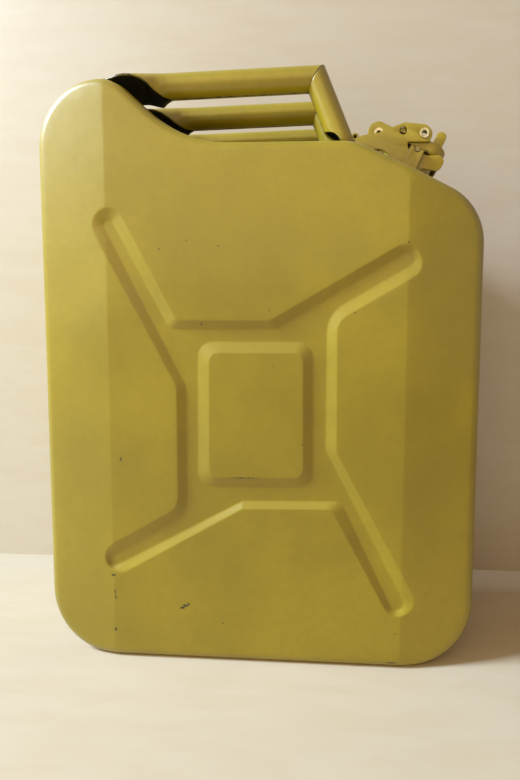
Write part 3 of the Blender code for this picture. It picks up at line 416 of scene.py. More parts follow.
def add(tree, kind, inputs=None, **properties):
    """A node with its properties, and its inputs fed by name or by place."""
    node = tree.nodes.new(kind)
    for key, value in properties.items():
        setattr(node, key, value)
    for key, value in (inputs or {}).items():
        feed(tree, node.inputs[key], value)
    return node


def new_material(name, roughness, metallic=0.0):
    material = bpy.data.materials.new(name)
    material.use_nodes = True
    shader = material.node_tree.nodes["Principled BSDF"]
    shader.inputs["Roughness"].default_value = roughness
    shader.inputs["Metallic"].default_value = metallic
    return material, material.node_tree, shader


def object_coords(tree, stretch=None):
    """Places on the object, drawn out along an axis where its stretch is under 1."""
    coords = add(tree, "ShaderNodeTexCoord").outputs["Object"]
    if stretch is not None:
        coords = add(tree, "ShaderNodeMapping", {"Vector": coords, "Scale": stretch}).outputs[0]
    return coords


def noise(tree, coords, scale, detail=3.0, rough=0.5, distortion=0.0, output="Fac"):
    node = add(tree, "ShaderNodeTexNoise", {
        "Vector": coords, "Scale": scale, "Detail": detail, "Roughness": rough,
        "Distortion": distortion})
    return node.outputs[output]


def ramp(tree, source, low, high, low_value=0.0, high_value=1.0):
    """Carry a value smoothly from one range over to another."""
    inputs = {0: source, 1: low, 2: high, 3: low_value, 4: high_value}
    node = add(tree, "ShaderNodeMapRange", inputs, interpolation_type="SMOOTHSTEP", clamp=True)
    return node.outputs[0]


def combine(tree, operation, first, second):
    return add(tree, "ShaderNodeMath", {0: first, 1: second}, operation=operation).outputs[0]


def combine_vectors(tree, operation, *values):
    node = add(tree, "ShaderNodeVectorMath", dict(enumerate(values)), operation=operation)
    return node.outputs["Value" if operation == "LENGTH" else "Vector"]


def mix_colour(tree, factor, first, second):
    """The first colour where the factor is 0, and the second where it is 1."""
    inputs = {0: factor, 6: first, 7: second}
    return add(tree, "ShaderNodeMix", inputs, data_type="RGBA", blend_type="MIX").outputs[2]


def bump(tree, height, distance, strength, under=None):
    inputs = {"Height": height, "Distance": distance, "Strength": strength}
    if under is not None:
        inputs["Normal"] = under
    return add(tree, "ShaderNodeBump", inputs).outputs[0]


def seen_rays(tree, clearance=0.0):
    """1 for rays that see the background: the camera's, and longer ones in gloss and glass."""
    path = add(tree, "ShaderNodeLightPath").outputs
    seen = combine(tree, "MAXIMUM", path["Is Glossy Ray"], path["Is Transmission Ray"])
    if clearance > 0:
        far = combine(tree, "GREATER_THAN", path["Ray Length"], clearance)
        seen = combine(tree, "MULTIPLY", seen, far)
    return combine(tree, "MAXIMUM", path["Is Camera Ray"], seen)


def spots(tree, coords, places):
    """A mask that is 1 in small ragged chips: middles, and half sizes in X and Z, in metres."""
    ragged = 0.003
    warp = noise(tree, coords, scale=1100.0, output="Color")
    moved = combine_vectors(tree, "MULTIPLY_ADD", warp, (ragged, ragged, ragged), coords)
    total = None
    for x, z, wide, high in places:
        middle = (x + ragged / 2, CHIPS_Y, z + ragged / 2)
        away = combine_vectors(tree, "SUBTRACT", moved, middle)
        sized = combine_vectors(tree, "MULTIPLY", away, (1 / wide, 100.0, 1 / high))
        mask = ramp(tree, combine_vectors(tree, "LENGTH", sized), 0.85, 1.15, 1.0, 0.0)
        total = mask if total is None else combine(tree, "MAXIMUM", total, mask)
    return total


def paint(name, chips=(), wear=0.0, darken=0.0):
    """Gloss paint on sheet steel: clouded colour, streaks, orange peel, worn edges and chips."""
    look = settings().paint
    material, tree, shader = new_material(name, look.roughness)
    coords = object_coords(tree)
    clouds = noise(tree, coords, scale=9.0, detail=4.0, rough=0.55)
    fine = noise(tree, coords, scale=160.0, detail=4.0, rough=0.6)
    streaks = noise(tree, object_coords(tree, (1.0, 1.0, 0.12)), scale=60.0, rough=0.6)
    # A negative darken makes the paint lighter. The closure's paints use this as painted light
    # against the shade the handles cast on the closure.
    body = [value * (1.0 - darken) for value in look.colour]
    light = [min(1.0, value * 1.10) for value in body]
    deep = [value * 0.90 for value in body]
    colour = mix_colour(tree, ramp(tree, clouds, 0.35, 0.65), deep, light)
    colour = mix_colour(tree, ramp(tree, fine, 0.30, 0.80, 0.0, 0.22), colour, look.dark)
    colour = mix_colour(tree, ramp(tree, streaks, 0.55, 0.80, 0.0, 0.14), colour, look.dark)
    bare = None
    if wear > 0:
        edges = add(tree, "ShaderNodeNewGeometry").outputs["Pointiness"]
        worn = combine(tree, "ADD", edges, combine(tree, "MULTIPLY", fine, 0.16))
        bare = ramp(tree, worn, 0.66 - wear * 0.06, 0.72 - wear * 0.06)
    if chips:
        blots = spots(tree, coords, chips)
        bare = blots if bare is None else combine(tree, "MAXIMUM", bare, blots)
    dull = ramp(tree, clouds, 0.3, 0.7, look.roughness - 0.05, look.roughness + 0.06)
    if bare is not None:
        colour = mix_colour(tree, bare, colour, look.metal)
        dull = combine(tree, "ADD", dull, combine(tree, "MULTIPLY", bare, 0.25))
    feed(tree, shader.inputs["Base Color"], colour)
    feed(tree, shader.inputs["Roughness"], dull)
    shader.inputs["Coat Weight"].default_value = 0.18
    shader.inputs["Coat Roughness"].default_value = 0.16
    peel = bump(tree, noise(tree, coords, scale=750.0, detail=2.0, rough=0.4), 0.00005, 0.5)
    waves = noise(tree, coords, scale=38.0, detail=2.0)
    feed(tree, shader.inputs["Normal"], bump(tree, waves, 0.0008, 0.30, peel))
    return material


def plated(name, colour, roughness, metallic=1.0):
    """Dull metal with stains and fine scratches."""
    material, tree, shader = new_material(name, roughness, metallic)
    coords = object_coords(tree)
    stain = noise(tree, coords, scale=220.0, detail=5.0, rough=0.6)
    dark = [value * 0.45 for value in colour]
    stained = mix_colour(tree, ramp(tree, stain, 0.42, 0.75), colour, dark)
    dull = ramp(tree, stain, 0.3, 0.7, roughness - 0.1, roughness + 0.2)
    scratches = noise(tree, coords, scale=1600.0, rough=0.6)
    feed(tree, shader.inputs["Base Color"], stained)
    feed(tree, shader.inputs["Roughness"], dull)
    feed(tree, shader.inputs["Normal"], bump(tree, scratches, 0.00004, 0.6))
    return material


def rubber(name):
    material, tree, shader = new_material(name, 0.75)
    bloom = noise(tree, object_coords(tree), scale=300.0, rough=0.6)
    colour = mix_colour(tree, ramp(tree, bloom, 0.4, 0.8), RUBBER, RUBBER_BLOOM)
    feed(tree, shader.inputs["Base Color"], colour)
    feed(tree, shader.inputs["Normal"], bump(tree, bloom, 0.0001, 0.4))
    return material


def laminate(name, colour, one_sided):
    """Pale board with faint grain. A one-sided board shows from its front only."""
    material, tree, shader = new_material(name, 0.55)
    coords = object_coords(tree, (0.22, 1.0, 1.0))
    grain = noise(tree, coords, scale=55.0, detail=5.0, rough=0.6, distortion=0.4)
    deep = [value * share for value, share in zip(colour, (0.95, 0.92, 0.87))]
    grained = mix_colour(tree, ramp(tree, grain, 0.35, 0.7, 0.0, 0.7), colour, deep)
    feed(tree, shader.inputs["Base Color"], grained)
    if one_sided:
        behind = add(tree, "ShaderNodeNewGeometry").outputs["Backfacing"]
        front = combine(tree, "SUBTRACT", 1.0, behind)
        shown = combine(tree, "MULTIPLY", front, seen_rays(tree, WALL_CLEARANCE))
        clear = add(tree, "ShaderNodeBsdfTransparent").outputs[0]
        mix = add(tree, "ShaderNodeMixShader", {0: shown, 1: clear, 2: shader.outputs[0]})
        feed(tree, tree.nodes["Material Output"].inputs["Surface"], mix.outputs[0])
    return material


# Mesh tools

def mesh_from(name, verts, faces):
    mesh = bpy.data.meshes.new(name)
    mesh.from_pydata([tuple(v) for v in verts], [], [tuple(int(i) for i in f) for f in faces])
    mesh.update()
    return mesh


def mesh_of(bm, name):
    """The mesh of a bmesh, which is freed."""
    mesh = bpy.data.meshes.new(name)
    bm.to_mesh(mesh)
    bm.free()
    return mesh


def link_object(name, data):
    obj = bpy.data.objects.new(name, data)
    bpy.context.scene.collection.objects.link(obj)
    return obj


def finish_mesh(name, mesh, material, body, nodes, smooth_angle):
    """Link the piece, shade it, give it its material, and tie it to its body and CAD nodes."""
    obj = link_object(name, mesh)
    mesh.shade_smooth()
    mesh.set_sharp_from_angle(angle=math.radians(smooth_angle))
    if material is not None:
        mesh.materials.append(material)
    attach(obj, body)
    if nodes:
        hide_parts(*nodes)
    return obj


def face_outward(mesh, out):
    """Turn all faces so that the last one looks along a direction."""
    bm = bmesh.new()
    bm.from_mesh(mesh)
    bmesh.ops.recalc_face_normals(bm, faces=bm.faces)
    bm.faces.ensure_lookup_table()
    if bm.faces[-1].normal.dot(out) < 0:
        bmesh.ops.reverse_faces(bm, faces=bm.faces)
    bm.to_mesh(mesh)
    bm.free()


def thicken(obj, thickness, offset):
    sheet = obj.modifiers.new("Sheet", "SOLIDIFY")
    sheet.thickness = thickness
    sheet.offset = offset
    return sheet


def drill(obj, cutter, solver):
    hole = obj.modifiers.new("Hole", "BOOLEAN")
    hole.object = cutter
    hole.solver = solver


def apply_modifiers(obj):
    """Keep the evaluated mesh and drop the modifiers."""
    graph = bpy.context.evaluated_depsgraph_get()
    mesh = bpy.data.meshes.new_from_object(obj.evaluated_get(graph))
    old = obj.data
    obj.modifiers.clear()
    obj.data = mesh
    mesh.name = obj.name
    bpy.data.meshes.remove(old)


def fillet(before, corner, after, radius, steps):
    """Points that round one corner of an outline."""
    corner = Vector(corner)
    a = (Vector(before) - corner).normalized()
    b = (Vector(after) - corner).normalized()
    half = a.angle(b) / 2
    middle = corner + (a + b).normalized() * radius / math.sin(half)
    first = corner + a * radius / math.tan(half) - middle
    sweep = math.pi - 2 * half
    side = 1 if a.x * b.y - a.y * b.x < 0 else -1
    points = []
    for i in range(steps + 1):
        turn = side * sweep * i / steps
        cos, sin = math.cos(turn), math.sin(turn)
        points.append((
            middle.x + first.x * cos - first.y * sin,
            middle.y + first.x * sin + first.y * cos,
        ))
    return points


def rounded(corners, radii, steps=8):
    """An outline with each corner rounded, or left sharp where its radius is 0."""
    points = []
    for i, corner in enumerate(corners):
        if radii[i] <= 0:
            points.append(tuple(corner))
        else:
            after = corners[(i + 1) % len(corners)]
            points.extend(fillet(corners[i - 1], corner, after, radii[i], steps))
    return points


def rounded_table(table, steps=8):
    """An outline from rows of a corner's two places and its radius."""
    return rounded([row[:2] for row in table], [row[2] for row in table], steps)


def arc(centre, radius, start, end, steps=16):
    """Points from a start to an end angle in degrees."""
    points = []
    for i in range(steps + 1):
        turn = math.radians(start + (end - start) * i / steps)
        points.append((centre[0] + radius * math.cos(turn), centre[1] + radius * math.sin(turn)))
    return points


def circle(centre, radius, sides=40):
    return arc(centre, radius, 0.0, 360.0 * (sides - 1) / sides, sides - 1)


def ring_faces(rows, count, closed=True):
    """Quads between rows of points that follow each other."""
    faces = []
    last = count if closed else count - 1
    for r in range(rows - 1):
        for i in range(last):
            j = (i + 1) % count
            faces.append((r * count + i, r * count + j, (r + 1) * count + j, (r + 1) * count + i))
    return faces


def body_outline(inset, pitch):
    """The body's outline moved inwards, with points along its straight sides too."""
    corners = [Vector(corner) for corner in BODY_CORNERS]
    moved = []
    for i, corner in enumerate(corners):
        back = (corner - corners[i - 1]).normalized()
        ahead = (corners[(i + 1) % len(corners)] - corner).normalized()
        left_back, left_ahead = Vector((-back.y, back.x)), Vector((-ahead.y, ahead.x))
        normal = (left_back + left_ahead).normalized()
        moved.append(corner + normal * inset / normal.dot(left_back))
    arcs, plain = [], []
    for i, radius in enumerate(BODY_RADII):
        after = (i + 1) % len(corners)
        arcs.append(fillet(moved[i - 1], moved[i], moved[after], abs(radius - inset), 12))
        plain.append(fillet(corners[i - 1], corners[i], corners[after], abs(radius), 1))
    points = []
    for i, part in enumerate(arcs):
        points.extend(part)
        after = (i + 1) % len(arcs)
        start, end = Vector(part[-1]), Vector(arcs[after][0])
        # The count comes from the outline that isn't moved, so that all rings match
        gap = (Vector(plain[after][0]) - Vector(plain[i][-1])).length
        count = max(1, round(gap / pitch))
        points.extend(tuple(start.lerp(end, k / count)) for k in range(1, count))
    return np.array(points)


# Shells

def flank_setback(x):
    """How far the flank has fallen back at this X, at the face."""
    return FLANK_SLOPE * soft_ramp(np.abs(x) - CREASE_X, CREASE_SOFTNESS)


def soft_dents(x, z, side):
    """Faint waves and small dents that a thin pressed sheet keeps."""
    wave = (
        np.sin(x * 0.031 + 1.3 + side) * np.cos(z * 0.023 + 0.4)
        + np.sin(x * 0.011 - z * 0.017 + 2.1) + 0.6 * np.sin(z * 0.043 + x * 0.007 + side * 0.8)
    )
    # The three waves add up to at most this much either way
    reach = 1.0 + 1.0 + 0.6
    depth = WAVE_DEPTH * (wave + reach) / reach
    if side < 0:
        for px, pz, size, amount in DENTS:
            depth = depth + amount * np.exp(-((x - px)**2 + (z - pz)**2) / size**2)
    return depth


def inside_polygon(x, z, ring):
    inside = np.zeros(x.shape, bool)
    for (x1, z1), (x2, z2) in zip(ring, np.roll(ring, -1, axis=0)):
        crosses = (z1 > z) != (z2 > z)
        with np.errstate(divide="ignore", invalid="ignore"):
            at = (x2 - x1) * (z - z1) / (z2 - z1) + x1
        inside ^= crosses & (x < at)
    return inside


def signed_distance(x, z, line):
    """Distance to a closed line, positive inside it."""
    near = np.full(x.shape, np.inf)
    for (ax, az), (bx, bz) in zip(line, np.roll(line, -1, axis=0)):
        dx, dz = bx - ax, bz - az
        along = np.clip(((x - ax) * dx + (z - az) * dz) / (dx**2 + dz**2), 0.0, 1.0)
        near = np.minimum(near, np.hypot(x - ax - along * dx, z - az - along * dz))
    return np.where(inside_polygon(x, z, line), near, -near)


def soft_ramp(value, softness):
    """The value where it is positive and 0 where it isn't, with a soft bend between."""
    return (value + np.sqrt(value**2 + softness**2)) / 2


def face_depth(x, z, side, depth, lines):
    """How far out the pressed face lies at each point."""
    base = FACE_Y - flank_setback(x) - soft_dents(x, z, side)
    mouth, foot, middle_top, middle_foot = (signed_distance(x, z, line) for line in lines)
    over_mouth = np.minimum(mouth, -middle_top)
    over_foot = np.minimum(foot, -middle_foot)
    width = np.maximum(over_mouth - over_foot, 1.0)
    soft = PRESS_SOFTNESS / width
    rise = soft_ramp(-over_foot / width, soft)
    wall = np.maximum(1.0 - soft_ramp(1.0 - rise, soft), 0.0)
    floor = np.minimum(base, FACE_Y - depth)
    return base * wall + floor * (1 - wall)


def bend_rows(lines, spacing):
    """Rows of points along each bend of the pressing's walls, middle row first."""
    rows = []
    for line in lines:
        dense = []
        for start, end in zip(line, np.roll(line, -1, axis=0)):
            count = max(1, math.ceil(np.hypot(*(end - start)) / spacing))
            dense += [start + (end - start) * k / count for k in range(count)]
        dense = np.array(dense)
        run = np.roll(dense, -1, axis=0) - np.roll(dense, 1, axis=0)
        out = np.stack([run[:, 1], -run[:, 0]], axis=1) / np.linalg.norm(run, axis=1)[:, None]
        rows += [(dense + out * shift, BEND_CLEARANCE) for shift in BEND_ROWS]
    return rows


def crease_rows():
    heights = np.arange(CREASE_PITCH, HUMP_Z, CREASE_PITCH)
    for side in (-1, 1):
        for shift in CREASE_ROWS:
            line = np.stack([np.full(len(heights), side * CREASE_X + shift), heights], axis=1)
            yield line, CREASE_CLEARANCE


def dent_rings():
    turns = np.linspace(0.0, 2 * math.pi, 14, endpoint=False)
    for x, z, size, _ in DENTS:
        if size < SMALL_DENT:
            rings = [
                (x + size * reach * math.cos(turn), z + size * reach * math.sin(turn))
                for reach in DENT_RINGS for turn in turns]
            yield np.array(rings), DENT_CLEARANCE


def face_points(ring, inner_ring, pitch, lines):
    """Points inside the face: rows on the bends and creases, wide apart elsewhere."""
    low, high = ring.min(axis=0), ring.max(axis=0)
    xs, zs = (np.arange(low[k] + GRID_PITCH / 2, high[k], GRID_PITCH) for k in (0, 1))
    grid = np.stack([a.ravel() for a in np.meshgrid(xs, zs)], axis=1)
    kept = [ring]
    for points, clearance in (
        *bend_rows(lines, pitch), *crease_rows(), *dent_rings(), (grid, GRID_CLEARANCE),
    ):
        points = points[inside_polygon(points[:, 0], points[:, 1], inner_ring)]
        placed = np.concatenate(kept)
        tree = KDTree(len(placed))
        for i, (x, z) in enumerate(placed):
            tree.insert((x, z, 0.0), i)
        tree.balance()
        kept.append(points[[tree.find((x, z, 0.0))[2] > clearance for x, z in points]])
    return np.concatenate(kept[1:])


def side_rings(side):
    """Rings of points from the weld flange over the side wall to the edge of the face."""
    rows = list(FLANGE_ROWS)
    for i in range(FACE_STEPS + 1):
        turn = math.pi / 2 * i / FACE_STEPS
        inset = FACE_RADIUS * (1 - math.cos(turn))
        rows.append((inset, FACE_Y - FACE_RADIUS * (1 - math.sin(turn))))
    rings = []
    for inset, depth in rows:
        ring = body_outline(inset, EDGE_PITCH)
        x, z = ring[:, 0], ring[:, 1]
        bent = min(1.0, max(0.0, (depth - BEND_FROM_Y) / (FACE_Y - FACE_RADIUS - BEND_FROM_Y)))
        dented = max(0.0, depth - DENTS_FROM_Y) / (FACE_Y - DENTS_FROM_Y)
        y = depth - flank_setback(x) * bent - soft_dents(x, z, side) * dented
        rings.append(np.stack([x, y, z], axis=1))
    return rings


def build_shell(name, side, node, material, cutter):
    look = settings().body
    rings = side_rings(side)
    count = len(rings[0])
    edge = rings[-1][:, [0, 2]]
    lines = [np.array(rounded_table(t)) for t in (PRESS_MOUTH, PRESS_FOOT, MIDDLE_TOP, MIDDLE_FOOT)]
    inner = face_points(edge, body_outline(FACE_RADIUS + 1.0, EDGE_PITCH), look.pitch / MM, lines)
    flat = [Vector(point) for point in np.concatenate([edge, inner])]
    loop = [(i, (i + 1) % count) for i in range(count)]
    _, _, faces, origin, _, _ = delaunay_2d_cdt(flat, loop, [tuple(range(count))], 1, 1e-6)
    place = {new: index for new, old in enumerate(origin) for index in old}
    y = face_depth(inner[:, 0], inner[:, 1], side, look.press_depth / MM, lines)
    inner_verts = np.stack([inner[:, 0], y, inner[:, 1]], axis=1)
    verts = np.concatenate([*rings, inner_verts]) * MM
    verts[:, 1] *= side
    start = (len(rings) - 1) * count
    all_faces = ring_faces(len(rings), count)
    all_faces += [tuple(start + place[i] for i in face) for face in faces]
    mesh = mesh_from(name, verts, all_faces)
    face_outward(mesh, Vector((0, side, 0)))
    obj = finish_mesh(name, mesh, material, CAN, [node], 50.0)
    thicken(obj, look.sheet, -1.0)
    drill(obj, cutter, "MANIFOLD")
    apply_modifiers(obj)


def neck_cutter():
    """The cutter that opens both shells for the neck."""
    bm = bmesh.new()
    radius = NECK_HOLE * MM
    low, high = (place * MM for place in NECK_CUT)
    bmesh.ops.create_cone(
        bm, cap_ends=True, segments=64, radius1=radius, radius2=radius, depth=high - low)
    bm.transform(CLOSURE @ Matrix.Translation((0, 0, (low + high) / 2)))
    return link_object("neck_drill", mesh_of(bm, "neck_drill"))


# Handles

def smooth_rows(table, per):
    """Rows between the given ones on a smooth curve."""
    table = np.array(table, float)
    padded = np.concatenate([table[:1], table, table[-1:]])
    out = []
    for i in range(len(table) - 1):
        p0, p1, p2, p3 = padded[i:i + 4]
        for k in range(per):
            t = k / per
            out.append(0.5 * (
                2 * p1 + (p2 - p0) * t + (2 * p0 - 5 * p1 + 4 * p2 - p3) * t**2
                + (3 * p1 - p0 - 3 * p2 + p3) * t**3))
    out.append(table[-1])
    return np.array(out)


def sheet_row(crown, up, bend, reach, sides, y, back=None):
    """One bent row of a rolled sheet: its crown, and its reach to the front and the back."""
    row = []
    for j in range(sides + 1):
        share = 2 * j / sides - 1
        turn = share * (reach if back is None or share < 0 else back) / bend
        point = crown + Vector((0, bend * math.sin(turn), 0)) - up * bend * (1 - math.cos(turn))
        row.append(point + Vector((0, y, 0)))
    return row


def slide_to_plane(row, point, direction):
    """Move a row's points along a direction until they lie in the mitre's plane at a point."""
    rate = direction.dot(MITRE_NORMAL)
    return [p + direction * ((point - p).dot(MITRE_NORMAL) / rate) for p in row]


def drop_to_top(row, gap):
    """Move a row's points down the strut until this gap is left over the can's top."""
    dropped = []
    for p in row:
        place = STRUT_LENGTH
        for _ in range(6):
            at = p + DOWN_STRUT * place
            place += (at.z - top_surface(at.x) - gap) / -DOWN_STRUT.z
        dropped.append(p + DOWN_STRUT * place)
    return dropped


def top_surface(x):
    """Height of the can's top at this X, right of the hump."""
    past = max(0.0, x - SHOULDER_X + SHOULDER_RADIUS * math.tan(SHOULDER_ANGLE / 2))
    return TOP_Z - SHOULDER_RADIUS + math.sqrt(max(SHOULDER_RADIUS**2 - past**2, 0.0))


def hump_fall(x):
    """How far the hump's outer corner has fallen at this X."""
    past = max(0.0, HUMP_RADIUS - HALF_WIDTH - x)
    return HUMP_RADIUS - math.sqrt(HUMP_RADIUS**2 - past**2)


def whole_reach():
    """Reach of the sheet from the crown of a rolled tube to its butt seam."""
    return math.pi * TUBE_BEND - settings().handles.seam / MM / 2


def rolled_piece(name, rows, node, materials):
    verts = [tuple(p * MM) for row in rows for p in row]
    faces = [face[::-1] for face in ring_faces(len(rows), len(rows[0]), closed=False)]
    mesh = mesh_from(name, verts, faces)
    for material in materials:
        mesh.materials.append(material)
    obj = finish_mesh(name, mesh, None, CAN, [node], 40.0)
    sheet = thicken(obj, TUBE_SHEET * MM, 0.0)
    sheet.use_even_offset = True
    sheet.material_offset = 1
    sheet.material_offset_rim = 0


def grip_crown(x):
    """Middle of the sheet at the top of a grip."""
    return HANDLE_Z + x * math.tan(HANDLE_RISE) + TUBE_BEND


def tongue_rows(row):
    """The tongue's rows as place, crown, curve, reach to the front and back, and fall."""
    rest = HUMP_Z + WELD_GAP + TUBE_SHEET / 2 + TONGUE_END**2 / TONGUE_BEND / 2
    whole = whole_reach()
    rows = []
    for run, fall, flat, share in TONGUE_ROWS:
        x = TONGUE_X[0] + (TONGUE_X[1] - TONGUE_X[0]) * run
        reaches = []
        for wide in TONGUE_REACH[row]:
            if share <= 1:
                reaches.append(whole + (wide - whole) * share)
            else:
                reaches.append(wide + (TONGUE_END - wide) * (share - 1))
        crown = grip_crown(x) + (rest - grip_crown(x)) * fall
        rows.append((x, crown, 1 / (TUBE_BEND * flat), *reaches, fall))
    return smooth_rows(rows, 6)[::-1]


def build_grip(row, y, outer, inner):
    sides = settings().handles.sides
    whole = whole_reach()
    rows = []
    for x, crown, curve, front, back, fall in tongue_rows(row):
        lean = OVER_GRIP.lerp(Vector((0, 0, 1)), min(1.0, max(0.0, fall))).normalized()
        top = Vector((x, 0, crown - max(0.0, hump_fall(x) - 0.02)))
        rows.append(sheet_row(top, lean, 1 / curve, front, sides, y, back))
    for x in (*GRIP_ROWS_X, MITRE_X):
        top = Vector((x, 0, grip_crown(x)))
        rows.append(sheet_row(top, OVER_GRIP, TUBE_BEND, whole, sides, y))
    last = rows.pop()
    cut = MITRE + Vector((0, y, 0)) - MITRE_NORMAL * MITRE_GAP
    rows.append(slide_to_plane(last, cut - MITRE_NORMAL * MITRE_ROW, ALONG_GRIP))
    rows.append(slide_to_plane(last, cut, ALONG_GRIP))
    rolled_piece(row + "_grip_skin", rows, row + "_grip", (outer, inner))


def build_strut(row, y, outer, inner):
    sides = settings().handles.sides
    whole = whole_reach()
    half = FOOT_HALF_TURN * TUBE_BEND
    head = MITRE + OUT_OF_STRUT * TUBE_BEND
    first = sheet_row(head, OUT_OF_STRUT, TUBE_BEND, whole, sides, y)
    start = MITRE + Vector((0, y, 0)) + MITRE_NORMAL * MITRE_GAP
    rows = [
        slide_to_plane(first, start, DOWN_STRUT),
        slide_to_plane(first, start + MITRE_NORMAL * MITRE_ROW, DOWN_STRUT),
    ]
    cut = STRUT_LENGTH - FOOT_CUT_LENGTH
    places = [(14.0, whole), (24.0, whole), (cut - 2.0, whole), (cut, whole * 0.985)]
    places += [(cut + run * TUBE_RADIUS, whole + (half - whole) * way) for run, way in FOOT_CUT]
    for place, reach in places:
        crown = head + DOWN_STRUT * place
        rows.append(sheet_row(crown, OUT_OF_STRUT, TUBE_BEND, reach, sides, y))
    foot = sheet_row(head, OUT_OF_STRUT, TUBE_BEND, half, sides, y)
    rows.append(drop_to_top(foot, FOOT_GAP))
    rolled_piece(row + "_strut_skin", rows, row + "_strut", (outer, inner))


def bead(name, path, radius, material):
    """A weld bead: a thin tube along a path, swelling and shrinking ripple by ripple."""
    sides = 8
    verts = []
    last = len(path) - 1
    for i, p in enumerate(path):
        run = (path[min(i + 1, last)] - path[max(i - 1, 0)]).normalized()
        side = run.orthogonal().normalized()
        other = run.cross(side)
        size = radius * (1 + 0.22 * math.sin(i * 2.1) + 0.1 * math.sin(i * 0.7 + 1))
        if i in (0, last):
            size *= 0.3
        for k in range(sides):
            turn = 2 * math.pi * k / sides
            verts.append(tuple((p + (side * math.cos(turn) + other * math.sin(turn)) * size) * MM))
    faces = ring_faces(len(path), sides)
    faces.append(tuple(range(sides))[::-1])
    faces.append(tuple(range(last * sides, (last + 1) * sides)))
    finish_mesh(name, mesh_from(name, verts, faces), material, CAN, [], 60.0)


def handle_welds(row, y, material):
    """Beads at the mitre, at the strut's foot and along the tongue's sides."""
    radius = TUBE_RADIUS - MITRE_BEAD_SUNK
    crown = MITRE + OVER_GRIP * radius
    ring = sheet_row(crown, OVER_GRIP, radius, MITRE_BEAD_TURN * radius, 43, y)
    ring = slide_to_plane(ring, MITRE + Vector((0, y, 0)), ALONG_GRIP)
    bead(row + "_mitre_weld", ring, MITRE_BEAD, material)
    head = MITRE + OUT_OF_STRUT * TUBE_RADIUS
    foot = sheet_row(head, OUT_OF_STRUT, TUBE_RADIUS, FOOT_BEAD_TURN * TUBE_RADIUS, 35, y)
    bead(row + "_foot_weld", drop_to_top(foot, WELD_GAP), FOOT_BEAD, material)
    for tag, side in (("near", -1), ("far", 1)):
        edge, top = y + side * TONGUE_END, HUMP_Z + TONGUE_BEAD_RISE
        line = [Vector((x, edge, top)) for x in np.linspace(*TONGUE_BEAD_X, 12)]
        bead(row + "_tongue_weld_" + tag, line, TONGUE_BEAD, material)


# Closure

def plate(loops, thickness):
    """A stamped plate with rounded edges, in X and Y from zero up."""
    edge = settings().closure.edge / MM
    curve = bpy.data.curves.new("plate", "CURVE")
    curve.dimensions = "2D"
    curve.fill_mode = "BOTH"
    curve.extrude = thickness / 2 - edge
    curve.bevel_depth = edge
    curve.bevel_resolution = 2
    curve.offset = -edge
    for loop in loops:
        spline = curve.splines.new("POLY")
        spline.points.add(len(loop) - 1)
        for point, (x, y) in zip(spline.points, loop):
            point.co = (x, y, 0.0, 1.0)
        spline.use_cyclic_u = True
    source = link_object("plate", curve)
    graph = bpy.context.evaluated_depsgraph_get()
    mesh = bpy.data.meshes.new_from_object(source.evaluated_get(graph))
    bpy.data.objects.remove(source, do_unlink=True)
    bpy.data.curves.remove(curve)
    bm = bmesh.new()
    bm.from_mesh(mesh)
    bpy.data.meshes.remove(mesh)
    bmesh.ops.remove_doubles(bm, verts=bm.verts, dist=1e-5)
    bmesh.ops.translate(bm, verts=bm.verts, vec=(0, 0, thickness / 2))
    return bm


def upright(loops, low, high):
    """A plate whose outline lies in u and n, between two places across the neck."""
    bm = plate(loops, high - low)
    bm.transform(Matrix.Translation((0, high, 0)) @ Matrix.Rotation(math.pi / 2, 4, "X"))
    return bm


def both_sides(loops, span):
    low, high = span
    return [upright(loops, -high, -low), upright(loops, low, high)]


def turned(profile, sides=None):
    """A lathe form: a closed profile of radius and height turned about n."""
    sides = sides or settings().closure.sides
    bm = bmesh.new()
    rings = []
    for radius, height in profile:
        if radius < 1e-6:
            rings.append([bm.verts.new((0, 0, height))])
        else:
            turns = [2 * math.pi * k / sides for k in range(sides)]
            rings.append([
                bm.verts.new((radius * math.cos(turn), radius * math.sin(turn), height))
                for turn in turns])
    pairs = list(zip(rings, rings[1:]))
    if len(rings[0]) > 1 or len(rings[-1]) > 1:
        pairs.append((rings[-1], rings[0]))
    for near, far in pairs:
        for k in range(sides):
            j = (k + 1) % sides
            corners = [near[k % len(near)], near[j % len(near)], far[j % len(far)], far[k % len(far)]]
            corners = list(dict.fromkeys(corners))
            if len(corners) > 2:
                bm.faces.new(corners)
    return bm


def across(bm, place, flip=False):
    """Stand a turned form along v at a place in u and n."""
    turn = math.pi / 2 if flip else -math.pi / 2
    bm.transform(Matrix.Translation((place[0], 0, place[1])) @ Matrix.Rotation(turn, 4, "X"))
    return bm


def closure_piece(name, forms, material, body, nodes):
    """Several closed forms drawn in the closure's frame, as one piece of the model."""
    whole = bmesh.new()
    for form in forms:
        form.transform(CLOSURE_MM)
        bmesh.ops.recalc_face_normals(form, faces=form.faces)
        mesh = mesh_of(form, "form")
        whole.from_mesh(mesh)
        bpy.data.meshes.remove(mesh)
    finish_mesh(name, mesh_of(whole, name), material, body, nodes, 40.0)


def neck_form():
    profile = [(NECK_INSIDE, NECK_FOOT)] + arc(MOUTH_BEAD, MOUTH_BEAD_RADIUS, 180.0, -40.0, 14)
    return turned(profile + list(NECK_OUTSIDE), 96)


